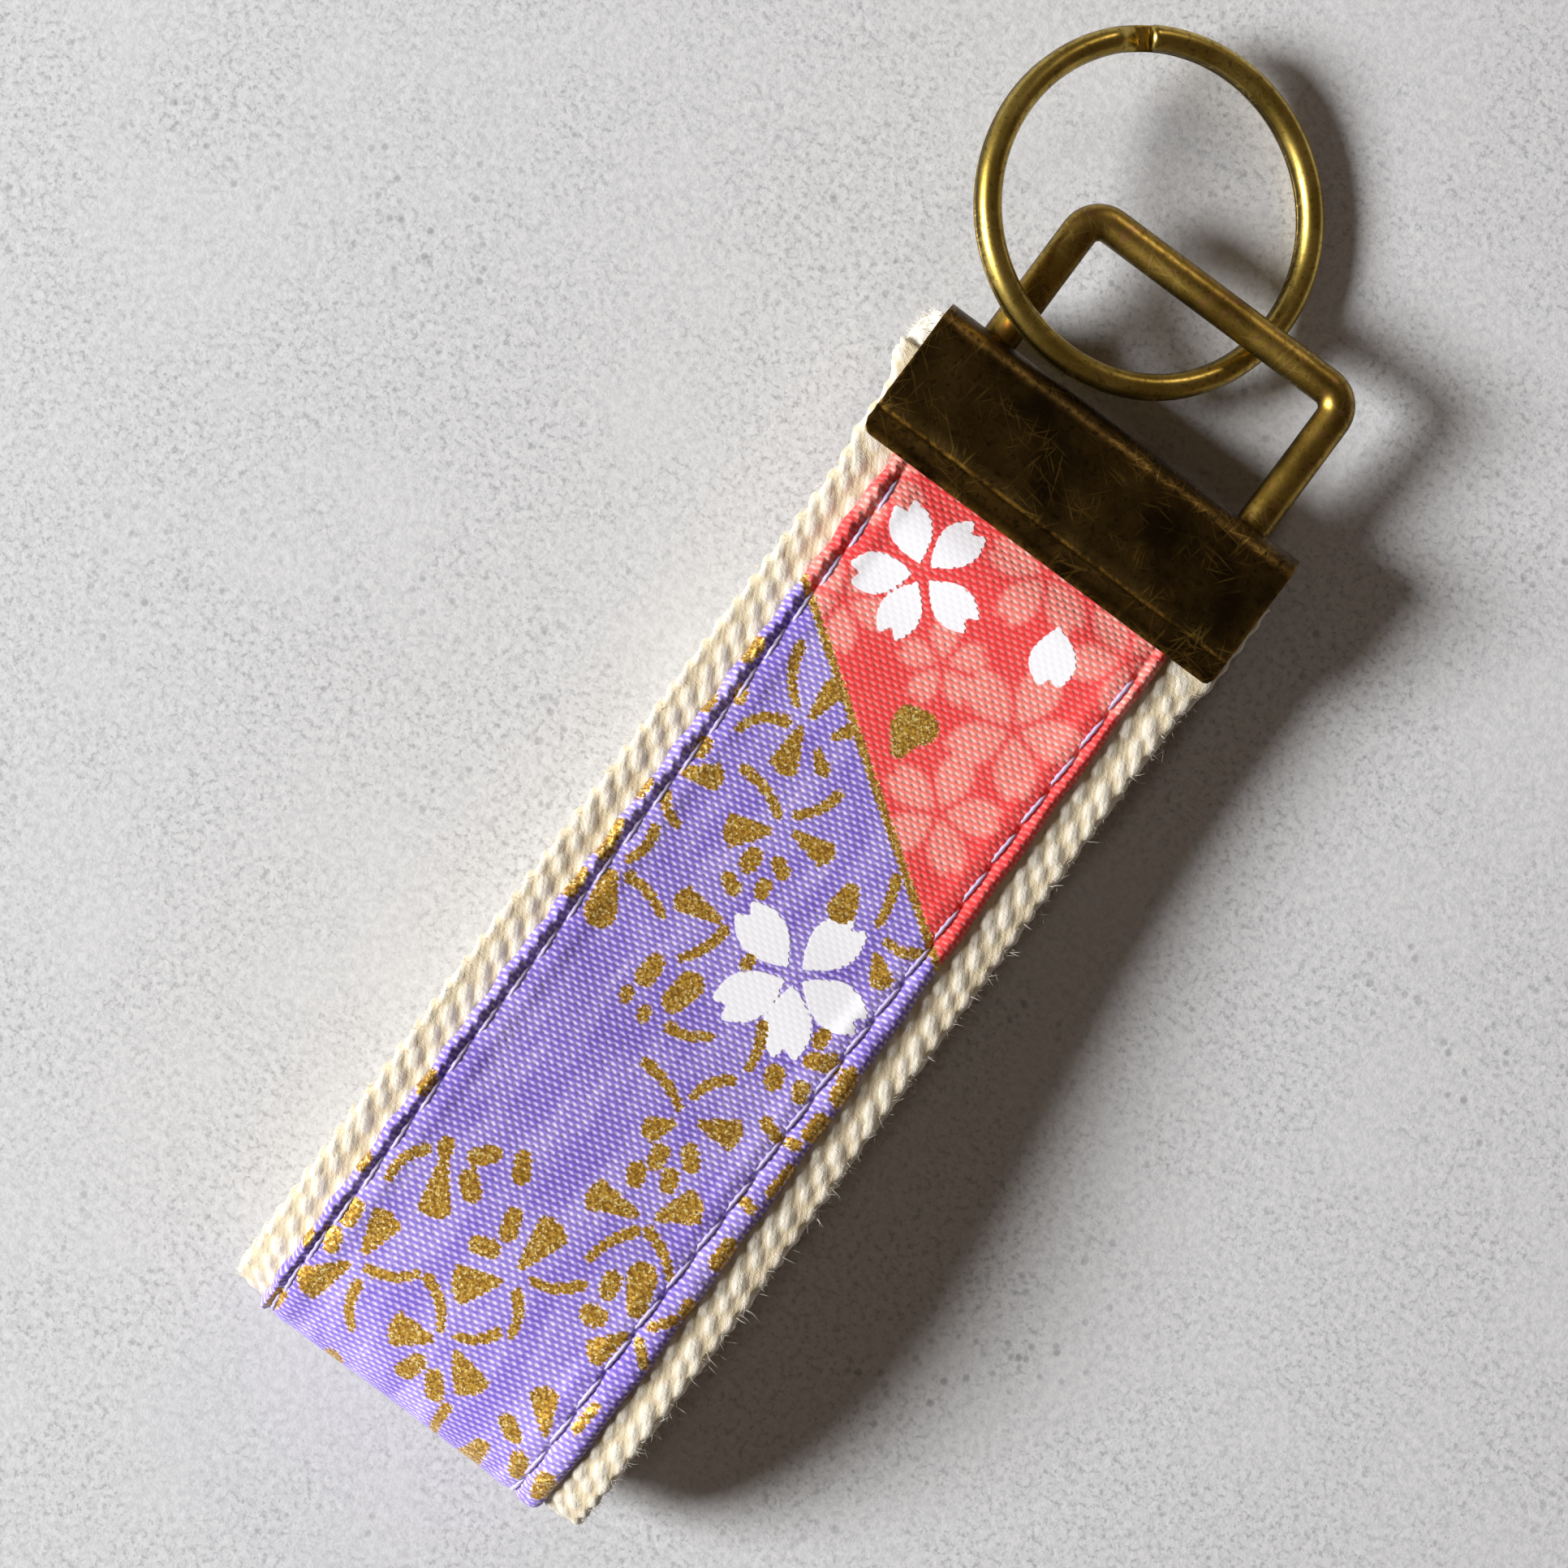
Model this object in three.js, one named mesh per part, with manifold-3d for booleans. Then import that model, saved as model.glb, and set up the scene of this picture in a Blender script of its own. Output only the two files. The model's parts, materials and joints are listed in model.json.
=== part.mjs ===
// A webbing key fob in millimetres, +Z up, lying on the face of its strap. A length of thick cotton
// webbing with a printed cotton strip sewn along its outside is folded into a flat loop, and its two
// raw ends are crimped in a folded metal clamp. A wire bail turns in the clamp's spine and carries a
// two-turn split ring. +Y runs along the strap towards the ring, and X across the strap.
import * as THREE from "three";
import { mergeVertices } from "three/addons/utils/BufferGeometryUtils.js";
import Module from "manifold-3d";

const wasm = await Module();
wasm.setup();

// ---- Driving dimensions ----
const WEBBING = { width: 32.2, thick: 2, crushed: 1.7, endWidth: 33 };
const PRINT = { width: 26, thick: 0.6, crushed: 0.5 };
const THREAD = { fromCentre: 11.5, width: 0.5, thick: 0.28, grooveWidth: 0.7, grooveDepth: 0.36 };
const LOOP = { length: 78, height: 13, foldHeight: 5.2 }; // the clamp's mouth to the fold
const CLAMP = {
  width: 32, height: 11.7, halfThick: 3.2, sheet: 0.9, spineRadius: 2.4, cornerRadius: 0.8,
};
const CRIMP = { fromMouth: 2.1, halfWidth: 0.9, depth: 0.3, lip: 0.2 };
const BAIL = {
  wire: 2.8, legs: 23.6, height: 13.25, topRadius: 1.8, railRadius: 1.5, buttGap: 0.3, tilt: 12,
};
const RING = { outside: 28, radialWire: 2, turnThick: 1.2, chamfer: 0.3, pitch: 1.24 };
const RING_REST = { x: -8.3, beyondSpine: 14.36, lean: 17.6, sag: 0.18 };
const RING_TURNS = { lowerEnd: 164.5, crankFrom: 137, upperEnd: 128.5 }; // degrees round the ring
const FLEX = { fromMouth: 2.4, halfGap: 1.7 }; // where the strap bends as it leaves the clamp
const GAP = 0.02; // half the gap left between two sewn or crimped layers

// ---- Places worked out from them ----
const MOUTH_Y = 44; // the origin is under the middle of the strap's flat stretch
const SPINE_Y = MOUTH_Y + CLAMP.height;
const MID_Z = 5.5; // the clamp, the bail and the strap's bend share this plane
const RAIL_Y = SPINE_Y - CLAMP.sheet - BAIL.wire / 2 - 0.15;
const BAR_Y = SPINE_Y + BAIL.height - BAIL.wire / 2;
const LEG_X = BAIL.legs / 2;
const SEAM_Z = PRINT.thick + GAP; // height of the face between print and webbing where the strap lies flat
const FLEX_START = FLEX.fromMouth + FLEX.halfGap;
const TAIL_FROM = MOUTH_Y - FLEX.fromMouth + FLEX.halfGap;
const TAIL_TO = RAIL_Y - BAIL.wire / 2 - 0.4;
const UP = new THREE.Vector3(0, 0, 1);

const MATERIALS = {
  webbing: surface(0xe9dfc6, 0.9, 0),
  print: surface(0xe24e4a, 0.8, 0),
  thread: surface(0xc8bee6, 0.6, 0),
  clamp: surface(0x2d2110, 0.35, 1),
  wire: surface(0x78601c, 0.3, 1),
};

function surface(color, roughness, metalness) {
  return new THREE.MeshStandardMaterial({ color, roughness, metalness });
}

// ---- Solids ----
function solidOf(geometry) {
  const bare = geometry.clone();
  bare.deleteAttribute("normal");
  bare.deleteAttribute("uv");
  const merged = mergeVertices(bare, 1e-4);
  const vertProperties = merged.attributes.position.array;
  const triVerts = new Uint32Array(merged.index.array);
  return new wasm.Manifold(new wasm.Mesh({ numProp: 3, vertProperties, triVerts }));
}

function geometryOf(solid) {
  const mesh = solid.getMesh();
  const geometry = new THREE.BufferGeometry();
  geometry.setAttribute("position", new THREE.BufferAttribute(mesh.vertProperties, 3));
  geometry.setIndex(new THREE.BufferAttribute(mesh.triVerts, 1));
  geometry.computeVertexNormals();
  return geometry;
}

// A side view, given as points (y, z), carried across the strap from one x to another.
function across(outline, fromX, toX) {
  const shape = new THREE.Shape(outline);
  const geometry = new THREE.ExtrudeGeometry(shape, { depth: toX - fromX, bevelEnabled: false });
  const yzx = new THREE.Matrix4().makeBasis(new THREE.Vector3(0, 1, 0), UP, new THREE.Vector3(1, 0, 0));
  return geometry.applyMatrix4(yzx).translate(fromX, 0, 0);
}

function along(path, section, steps) {
  const options = { extrudePath: path, steps, curveSegments: 5, bevelEnabled: false };
  return new THREE.ExtrudeGeometry(section, options);
}

function named(name, geometry, material) {
  const mesh = new THREE.Mesh(geometry, material);
  mesh.name = name;
  return mesh;
}

// ---- Strap: the route of the face between the print, outside, and the webbing, inside ----
function routePoint(fromMouth, z) {
  return new THREE.Vector2(MOUTH_Y - fromMouth, z);
}

function bend(from, nearFrom, nearTo, to) {
  return new THREE.CubicBezierCurve(...[from, nearFrom, nearTo, to].map(([t, z]) => routePoint(t, z)));
}

// The upper run swells towards the fold, the fold is a round nose, and the lower run lies flat and
// then rises into the clamp. Each stretch is sampled as finely as it bends. The normals point out.
function strapRoute() {
  const half = WEBBING.thick + 2 * GAP;
  const nose = [LOOP.length, LOOP.foldHeight];
  const stretches = [
    [bend([FLEX_START, MID_Z + half], [28, 7.2], [46, 12.7], [62, LOOP.height]), 12],
    [bend([62, LOOP.height], [70, LOOP.height], [LOOP.length, 10.4], nose), 12],
    [bend(nose, [LOOP.length, 2.6], [72.5, SEAM_Z], [66, SEAM_Z]), 10],
    [new THREE.LineCurve(routePoint(66, SEAM_Z), routePoint(24, SEAM_Z)), 4],
    [bend([24, SEAM_Z], [16, SEAM_Z], [11, 3], [FLEX_START, MID_Z - half]), 9],
  ];
  const places = [];
  const normals = [];
  for (const [curve, steps] of stretches) {
    for (let i = places.length ? 1 : 0; i <= steps; i++) {
      const tangent = curve.getTangentAt(i / steps);
      places.push(curve.getPointAt(i / steps));
      normals.push(new THREE.Vector2(tangent.y, -tangent.x));
    }
  }
  return { places, normals };
}

const ROUTE = strapRoute();

// A layer of the strap: its section, as points (across the strap, out from the route), carried along
// the route, with a flat cap at each end.
function layer(section) {
  const { places, normals } = ROUTE;
  const position = places.flatMap((p, i) =>
    section.flatMap(([x, out]) => [x, p.x + normals[i].x * out, p.y + normals[i].y * out]),
  );
  const count = section.length;
  const last = (places.length - 1) * count;
  const faces = [];
  for (let from = 0; from < last; from += count) {
    for (let j = 0; j < count; j++) {
      const k = (j + 1) % count;
      faces.push(from + j, from + k, from + count + k, from + j, from + count + k, from + count + j);
    }
  }
  const outline = section.map((p) => new THREE.Vector2(...p));
  for (const [a, b, c] of THREE.ShapeUtils.triangulateShape(outline, [])) {
    faces.push(c, b, a, last + a, last + b, last + c);
  }
  const geometry = new THREE.BufferGeometry();
  geometry.setAttribute("position", new THREE.Float32BufferAttribute(position, 3));
  geometry.setIndex(faces);
  return geometry.toNonIndexed();
}

// A flat section with a groove for each stitch row in the face at the distance grooved.
function groovedSection(width, plain, grooved) {
  const half = width / 2;
  const floor = grooved - Math.sign(grooved - plain) * THREAD.grooveDepth;
  const walls = [THREAD.fromCentre - THREAD.grooveWidth / 2, THREAD.fromCentre + THREAD.grooveWidth / 2];
  const groove = [[walls[0], grooved], [walls[0], floor], [walls[1], floor], [walls[1], grooved]];
  const mirrored = groove.map(([x, out]) => [-x, out]).reverse();
  const section = [[half, plain], [-half, plain], [-half, grooved], ...mirrored, ...groove, [half, grooved]];
  return grooved > plain ? section.reverse() : section;
}

function threadSection(side, inner) {
  const [from, to] = [-1, 1].map((s) => side * THREAD.fromCentre + (s * THREAD.width) / 2);
  const outer = inner + THREAD.thick;
  return [[from, inner], [to, inner], [to, outer], [from, outer]];
}

function strapPieces() {
  const webIn = -WEBBING.thick - GAP;
  const printOut = PRINT.thick + GAP;
  const depth = THREAD.grooveDepth;
  const webbing = layer(groovedSection(WEBBING.width, -GAP, webIn));
  const print = layer(groovedSection(PRINT.width, GAP, printOut));
  const pieces = [
    named("webbing_loop", webbing, MATERIALS.webbing),
    named("print_loop", print, MATERIALS.print),
  ];
  for (const [sideName, side] of [["left", -1], ["right", 1]]) {
    const needle = layer(threadSection(side, printOut - depth + 2 * GAP));
    const bobbin = layer(threadSection(side, webIn + depth - 2 * GAP - THREAD.thick));
    pieces.push(named("needle_thread_" + sideName, needle, MATERIALS.thread));
    pieces.push(named("bobbin_thread_" + sideName, bobbin, MATERIALS.thread));
  }
  return pieces;
}

// ---- Clamp: a folded sheet crimped on the strap's two ends ----
// How far the crimp presses the sheet and the layers under it inwards, at a distance from the mouth.
const CRIMP_KNEES = [CRIMP.fromMouth - CRIMP.halfWidth, CRIMP.fromMouth, CRIMP.fromMouth + CRIMP.halfWidth];

// A face of the sheet or a layer, from the mouth end to the spine end, at a distance from the middle.
function crimpedFace(distance, fromY, toY, side) {
  const knees = CRIMP_KNEES.map((t, i) => [MOUTH_Y + t, i === 1 ? distance - CRIMP.depth : distance]);
  const points = [[fromY, distance], ...knees, [toY, distance]];
  return points.map(([y, d]) => new THREE.Vector2(y, MID_Z + side * d));
}

// One crushed layer of a strap end. The inmost face stays flat on the middle plane.
function tail(inner, outer, width, side) {
  const flat = inner < 0.1;
  const inside = flat
    ? [TAIL_FROM, TAIL_TO].map((y) => new THREE.Vector2(y, MID_Z + side * inner))
    : crimpedFace(inner, TAIL_FROM, TAIL_TO, side);
  const outline = [...crimpedFace(outer, TAIL_FROM, TAIL_TO, side), ...inside.reverse()];
  return across(outline, -width / 2, width / 2);
}

function tailPieces() {
  const pieces = [];
  for (const [sideName, side] of [["front", 1], ["back", -1]]) {
    const webOut = GAP + WEBBING.crushed;
    const printIn = webOut + 2 * GAP;
    const webbing = tail(GAP, webOut, WEBBING.endWidth, side);
    const print = tail(printIn, printIn + PRINT.crushed, PRINT.width, side);
    pieces.push(named("webbing_end_" + sideName, webbing, MATERIALS.webbing));
    pieces.push(named("print_end_" + sideName, print, MATERIALS.print));
  }
  return pieces;
}

// The clamp's side view: two plates with a rolled lip and a crimp line each, joined by a round spine.
function clampOutline() {
  const out = CLAMP.halfThick;
  const inn = out - CLAMP.sheet;
  const radius = CLAMP.spineRadius;
  const innerRadius = radius - CLAMP.sheet;
  const shape = new THREE.Shape();
  shape.moveTo(MOUTH_Y, MID_Z - inn - 0.1);
  shape.lineTo(MOUTH_Y, MID_Z - out - CRIMP.lip * 0.4);
  shape.lineTo(MOUTH_Y + 0.5, MID_Z - out - CRIMP.lip);
  for (const p of crimpedFace(out, MOUTH_Y + 1, SPINE_Y - radius, -1)) shape.lineTo(p.x, p.y);
  shape.absarc(SPINE_Y - radius, MID_Z - out + radius, radius, -Math.PI / 2, 0, false);
  shape.absarc(SPINE_Y - radius, MID_Z + out - radius, radius, 0, Math.PI / 2, false);
  for (const p of crimpedFace(out, MOUTH_Y + 1, SPINE_Y - radius, 1).reverse()) shape.lineTo(p.x, p.y);
  shape.lineTo(MOUTH_Y + 0.5, MID_Z + out + CRIMP.lip);
  shape.lineTo(MOUTH_Y, MID_Z + out + CRIMP.lip * 0.4);
  shape.lineTo(MOUTH_Y, MID_Z + inn + 0.1);
  for (const p of crimpedFace(inn, MOUTH_Y + 1, SPINE_Y - radius, 1)) shape.lineTo(p.x, p.y);
  shape.absarc(SPINE_Y - radius, MID_Z + inn - innerRadius, innerRadius, Math.PI / 2, 0, true);
  shape.absarc(SPINE_Y - radius, MID_Z - inn + innerRadius, innerRadius, 0, -Math.PI / 2, true);
  for (const p of crimpedFace(inn, MOUTH_Y + 1, SPINE_Y - radius, -1).reverse()) shape.lineTo(p.x, p.y);
  return shape.extractPoints(5).shape;
}

// A slot in the spine for one leg, long enough in Z for the bail's tilt.
function legSlot(side) {
  const tilt = THREE.MathUtils.degToRad(BAIL.tilt);
  const reach = (SPINE_Y - RAIL_Y) * Math.tan(tilt);
  const radius = BAIL.wire / 2 + 0.2;
  const shape = new THREE.Shape();
  shape.absarc(0, reach, radius, 0, Math.PI, false);
  shape.absarc(0, -reach, radius, Math.PI, 2 * Math.PI, false);
  const geometry = new THREE.ExtrudeGeometry(shape, { depth: 6, bevelEnabled: false, curveSegments: 6 });
  return geometry.rotateX(Math.PI / 2).translate(side * LEG_X, SPINE_Y + 3, MID_Z);
}

// The clamp's plan, with its mouth corners rounded, as a block to cut the folded sheet with.
function clampPlan() {
  const half = CLAMP.width / 2;
  const r = CLAMP.cornerRadius;
  const shape = new THREE.Shape();
  shape.moveTo(half, SPINE_Y + 1);
  shape.lineTo(-half, SPINE_Y + 1);
  shape.absarc(-half + r, MOUTH_Y + r, r, Math.PI, 1.5 * Math.PI, false);
  shape.absarc(half - r, MOUTH_Y + r, r, -Math.PI / 2, 0, false);
  return new THREE.ExtrudeGeometry(shape, { depth: 12, bevelEnabled: false, curveSegments: 4 });
}

function clampShell() {
  const sheet = solidOf(across(clampOutline(), -CLAMP.width / 2 - 1, CLAMP.width / 2 + 1));
  const cut = [-1, 1].reduce((solid, side) => solid.subtract(solidOf(legSlot(side))), sheet);
  return named("clamp_shell", geometryOf(cut.intersect(solidOf(clampPlan()))), MATERIALS.clamp);
}

// ---- Bail: a rectangle of round wire whose ends meet in the rail inside the spine ----
function bailPath() {
  const corner = (x, y, r) => ({ at: new THREE.Vector3(x, y, MID_Z), r });
  const route = [
    corner(BAIL.buttGap / 2, RAIL_Y, 0),
    corner(LEG_X, RAIL_Y, BAIL.railRadius),
    corner(LEG_X, BAR_Y, BAIL.topRadius),
    corner(-LEG_X, BAR_Y, BAIL.topRadius),
    corner(-LEG_X, RAIL_Y, BAIL.railRadius),
    corner(-BAIL.buttGap / 2, RAIL_Y, 0),
  ];
  const path = new THREE.CurvePath();
  let from = route[0].at;
  for (let i = 1; i < route.length; i++) {
    const { at, r } = route[i];
    const into = at.clone().addScaledVector(at.clone().sub(from).normalize(), -r);
    path.add(new THREE.LineCurve3(from, into));
    if (!r) break;
    const away = route[i + 1].at.clone().sub(at).normalize();
    const out = at.clone().addScaledVector(away, r);
    path.add(new THREE.CubicBezierCurve3(into, into.clone().lerp(at, 0.55), out.clone().lerp(at, 0.55), out));
    from = out;
  }
  return path;
}

function bail() {
  const section = new THREE.Shape().absarc(0, 0, BAIL.wire / 2, 0, 2 * Math.PI, false);
  return named("bail_wire", along(bailPath(), section, 84), MATERIALS.wire);
}

// ---- Split ring: one flat wire wound twice, with a crank where it climbs to its second turn ----
class RingCoil extends THREE.Curve {
  getPoint(u) {
    const { lowerEnd, crankFrom, upperEnd } = RING_TURNS;
    const angle = lowerEnd + u * (upperEnd + 720 - lowerEnd);
    const climb = THREE.MathUtils.smoothstep(angle, crankFrom + 360, lowerEnd + 360);
    const radius = (RING.outside - RING.radialWire) / 2;
    const turn = THREE.MathUtils.degToRad(angle);
    return new THREE.Vector3(radius * Math.cos(turn), radius * Math.sin(turn), RING.pitch * (climb - 0.5));
  }
}

// A flat wire's section with chamfered corners: its thickness, then its radial width.
function ringSection() {
  const [t, w, c] = [RING.turnThick / 2, RING.radialWire / 2, RING.chamfer];
  const half = [[t, w - c], [t - c, w], [c - t, w], [-t, w - c]];
  const corners = [...half, ...half.map(([x, y]) => [-x, -y])];
  return new THREE.Shape(corners.map(([x, y]) => new THREE.Vector2(x, y)));
}

// The ring leans on the bail: over the left leg and under the bar, with its far right side low.
function ring() {
  const mesh = named("split_ring", along(new RingCoil(), ringSection(), 108), MATERIALS.wire);
  const lean = THREE.MathUtils.degToRad(RING_REST.lean);
  const normal = new THREE.Vector3(0.8 * Math.sin(lean), 0.6 * Math.sin(lean), Math.cos(lean));
  mesh.quaternion.setFromUnitVectors(UP, normal);
  mesh.position.set(RING_REST.x, SPINE_Y + RING_REST.beyondSpine, MID_Z - RING_REST.sag);
  return mesh;
}

// ---- The whole key fob ----
const keyFob = new THREE.Group();
keyFob.add(...strapPieces(), ...tailPieces(), clampShell(), bail(), ring());
export default keyFob;
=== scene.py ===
# A webbing key fob: the fine surfaces, materials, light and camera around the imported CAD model.
# Lengths are in millimetres until a mesh is made; meshes, lights and the camera are in metres.
import json
import math

import bpy
import numpy as np
from mathutils import Matrix, Vector

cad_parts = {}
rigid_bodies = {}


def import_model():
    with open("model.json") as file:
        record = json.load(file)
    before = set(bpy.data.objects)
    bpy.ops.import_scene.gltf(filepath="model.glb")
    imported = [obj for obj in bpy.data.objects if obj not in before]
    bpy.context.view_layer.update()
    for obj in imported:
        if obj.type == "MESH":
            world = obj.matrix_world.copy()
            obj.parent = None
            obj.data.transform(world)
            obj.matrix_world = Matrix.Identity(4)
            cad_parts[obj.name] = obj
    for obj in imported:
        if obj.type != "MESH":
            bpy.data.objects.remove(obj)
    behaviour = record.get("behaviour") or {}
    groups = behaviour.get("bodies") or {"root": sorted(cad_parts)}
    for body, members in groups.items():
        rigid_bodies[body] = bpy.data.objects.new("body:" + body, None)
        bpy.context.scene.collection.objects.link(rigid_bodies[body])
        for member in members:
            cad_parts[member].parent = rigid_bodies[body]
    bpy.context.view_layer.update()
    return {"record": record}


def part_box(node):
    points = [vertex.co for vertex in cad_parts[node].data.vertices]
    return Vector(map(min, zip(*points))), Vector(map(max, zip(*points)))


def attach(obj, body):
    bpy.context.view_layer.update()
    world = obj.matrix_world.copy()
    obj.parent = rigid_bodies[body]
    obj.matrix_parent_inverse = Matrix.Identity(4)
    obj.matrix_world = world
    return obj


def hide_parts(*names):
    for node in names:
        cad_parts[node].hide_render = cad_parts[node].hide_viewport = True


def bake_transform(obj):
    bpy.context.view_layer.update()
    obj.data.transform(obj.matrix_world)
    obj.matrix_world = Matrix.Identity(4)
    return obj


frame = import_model()
MM = 0.001
RNG = np.random.default_rng(7)


def box_mm(node):
    low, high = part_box(node)
    return np.array(low) / MM, np.array(high) / MM


# ---- Places read from the frame ----
CLAMP_LOW, CLAMP_HIGH = box_mm("clamp_shell")
BAIL_LOW, BAIL_HIGH = box_mm("bail_wire")
WEB_LOW, WEB_HIGH = box_mm("webbing_loop")
_, END_HIGH = box_mm("webbing_end_front")
MOUTH_Y, SPINE_Y = CLAMP_LOW[1], CLAMP_HIGH[1]
MID_Z = (BAIL_LOW[2] + BAIL_HIGH[2]) / 2
BAIL_RADIUS = (BAIL_HIGH[2] - BAIL_LOW[2]) / 2
JOINTS = {j["name"]: j for j in frame["record"]["behaviour"]["joints"]}
MOUNTS = {m["name"]: m for m in frame["record"]["mounts"]}
RAIL_Y = JOINTS["bail_tilt"]["pos_m"][1] / MM

# ---- Measures of the real pieces ----
WEB_THICK, WEB_CRUSHED = 2.0, 1.7
# The webbing's yarns stand a little past this, and its edges are this round.
WEB_HALF, EDGE_ROUND = WEB_HIGH[0] - 0.25, 0.75
PRINT_HALF, HEM = 12.85, 3.7
NOSE_FROM_MOUTH = MOUTH_Y - WEB_LOW[1]
TOP_Z, SEAM_Z = WEB_HIGH[2], WEB_LOW[2]
# For the stitch rows, left -1 and right 1: a stitch's length, a hole's place from the mouth, how far
# a stitch pulls the hem in, and how high the hem's roll stands, at a hole and how much more between.
STITCH = {-1: 3.46, 1: 3.57}
FIRST_HOLE = {-1: 1.15, 1: -0.95}
PULL = {-1: 0.08, 1: 0.02}
ROLL_LOW, ROLL_MORE = {-1: 0.2, 1: 0.14}, {-1: 0.3, 1: 0.14}


# ---- Meshes ----
def smoothstep(value, low, high):
    t = np.clip((np.asarray(value, float) - low) / (high - low), 0, 1)
    return t * t * (3 - 2 * t)


def hump(value, centre, width):
    """1 at the centre, falling off smoothly both ways."""
    return np.exp(-(((value - centre) / width) ** 2))


def unit(vectors):
    return vectors / np.linalg.norm(vectors, axis=-1, keepdims=True)


def length_along(points):
    """How far along a polyline each of its points is."""
    return np.concatenate([[0], np.cumsum(np.linalg.norm(np.diff(points, axis=0), axis=1))])


def stacked(*parts):
    """Numbers and arrays of any matching shapes as one array of rows."""
    return np.stack(np.broadcast_arrays(*parts), -1)


def new_object(name, points_mm, faces, attributes=None):
    """A smooth mesh from points, with one number or one vector for each point in every attribute."""
    vertices = np.asarray(points_mm, float).reshape(-1, 3) * MM
    mesh = bpy.data.meshes.new(name)
    mesh.from_pydata(vertices.tolist(), [], faces)
    for key, values in (attributes or {}).items():
        values = np.asarray(values, np.float32).ravel()
        single = len(values) == len(vertices)
        layer = mesh.attributes.new(key, "FLOAT" if single else "FLOAT_VECTOR", "POINT")
        layer.data.foreach_set("value" if single else "vector", values)
    mesh.polygons.foreach_set("use_smooth", [True] * len(mesh.polygons))
    mesh.update()
    piece = bpy.data.objects.new(name, mesh)
    bpy.context.scene.collection.objects.link(piece)
    return piece


def grid_faces(rows, cols, closed=False):
    """Quads of a grid of points stored row by row, each row closed to a ring if asked."""
    row = np.arange(rows - 1)[:, None] * cols
    c = np.arange(cols if closed else cols - 1)[None, :]
    c2 = (c + 1) % cols
    quads = stacked(row + c, row + c2, row + cols + c2, row + cols + c)
    return quads.reshape(-1, 4).tolist()


def capped_faces(rows, cols):
    """A tube of rings with a flat cap at each end."""
    last = (rows - 1) * cols
    caps = [list(range(cols))[::-1], list(range(last, last + cols))]
    return grid_faces(rows, cols, closed=True) + caps


def apply_modifiers(piece):
    """Makes the piece's modifiers part of its mesh."""
    graph = bpy.context.evaluated_depsgraph_get()
    mesh = bpy.data.meshes.new_from_object(piece.evaluated_get(graph))
    piece.modifiers.clear()
    piece.data = mesh


# ---- The strap's route, as in the CAD model ----
def bezier(p0, p1, p2, p3):
    t = np.linspace(0, 1, 161)[:, None]
    p0, p1, p2, p3 = (np.array(p, float) for p in (p0, p1, p2, p3))
    return (1 - t) ** 3 * p0 + 3 * t * (1 - t) ** 2 * p1 + 3 * t * t * (1 - t) * p2 + t**3 * p3


def strap_route():
    """Points (distance from the mouth, height) on the face between webbing and print, front end first."""
    loose, tight = WEB_THICK + 0.04, WEB_CRUSHED + 0.04
    nose = (NOSE_FROM_MOUTH, 5.2)
    inside = MOUTH_Y - END_HIGH[1]
    stretches = [
        bezier((inside, MID_Z + tight), (-4, MID_Z + tight), (-2, MID_Z + tight), (0, MID_Z + tight)),
        bezier((0, MID_Z + tight), (1.5, MID_Z + tight), (2.6, MID_Z + loose), (4.1, MID_Z + loose)),
        bezier((4.1, MID_Z + loose), (28, 7.2), (46, 12.7), (62, TOP_Z)),
        bezier((62, TOP_Z), (70, TOP_Z), (NOSE_FROM_MOUTH, 10.4), nose),
        bezier(nose, (NOSE_FROM_MOUTH, 2.6), (72.5, SEAM_Z), (66, SEAM_Z)),
        bezier((66, SEAM_Z), (50, SEAM_Z), (40, SEAM_Z), (24, SEAM_Z)),
        bezier((24, SEAM_Z), (16, SEAM_Z), (11, 3), (4.1, MID_Z - loose)),
        bezier((4.1, MID_Z - loose), (2.6, MID_Z - loose), (1.5, MID_Z - tight), (0, MID_Z - tight)),
        bezier((0, MID_Z - tight), (-2, MID_Z - tight), (-4, MID_Z - tight), (inside, MID_Z - tight)),
    ]
    points = np.concatenate([s if i == 0 else s[1:] for i, s in enumerate(stretches)])
    points[:, 0] = MOUTH_Y - points[:, 0]
    return points


# Cloth more than this from the table isn't pressed, and none of it comes nearer than the gap.
LOOSE, TABLE_GAP = 1.3, 0.02


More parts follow.
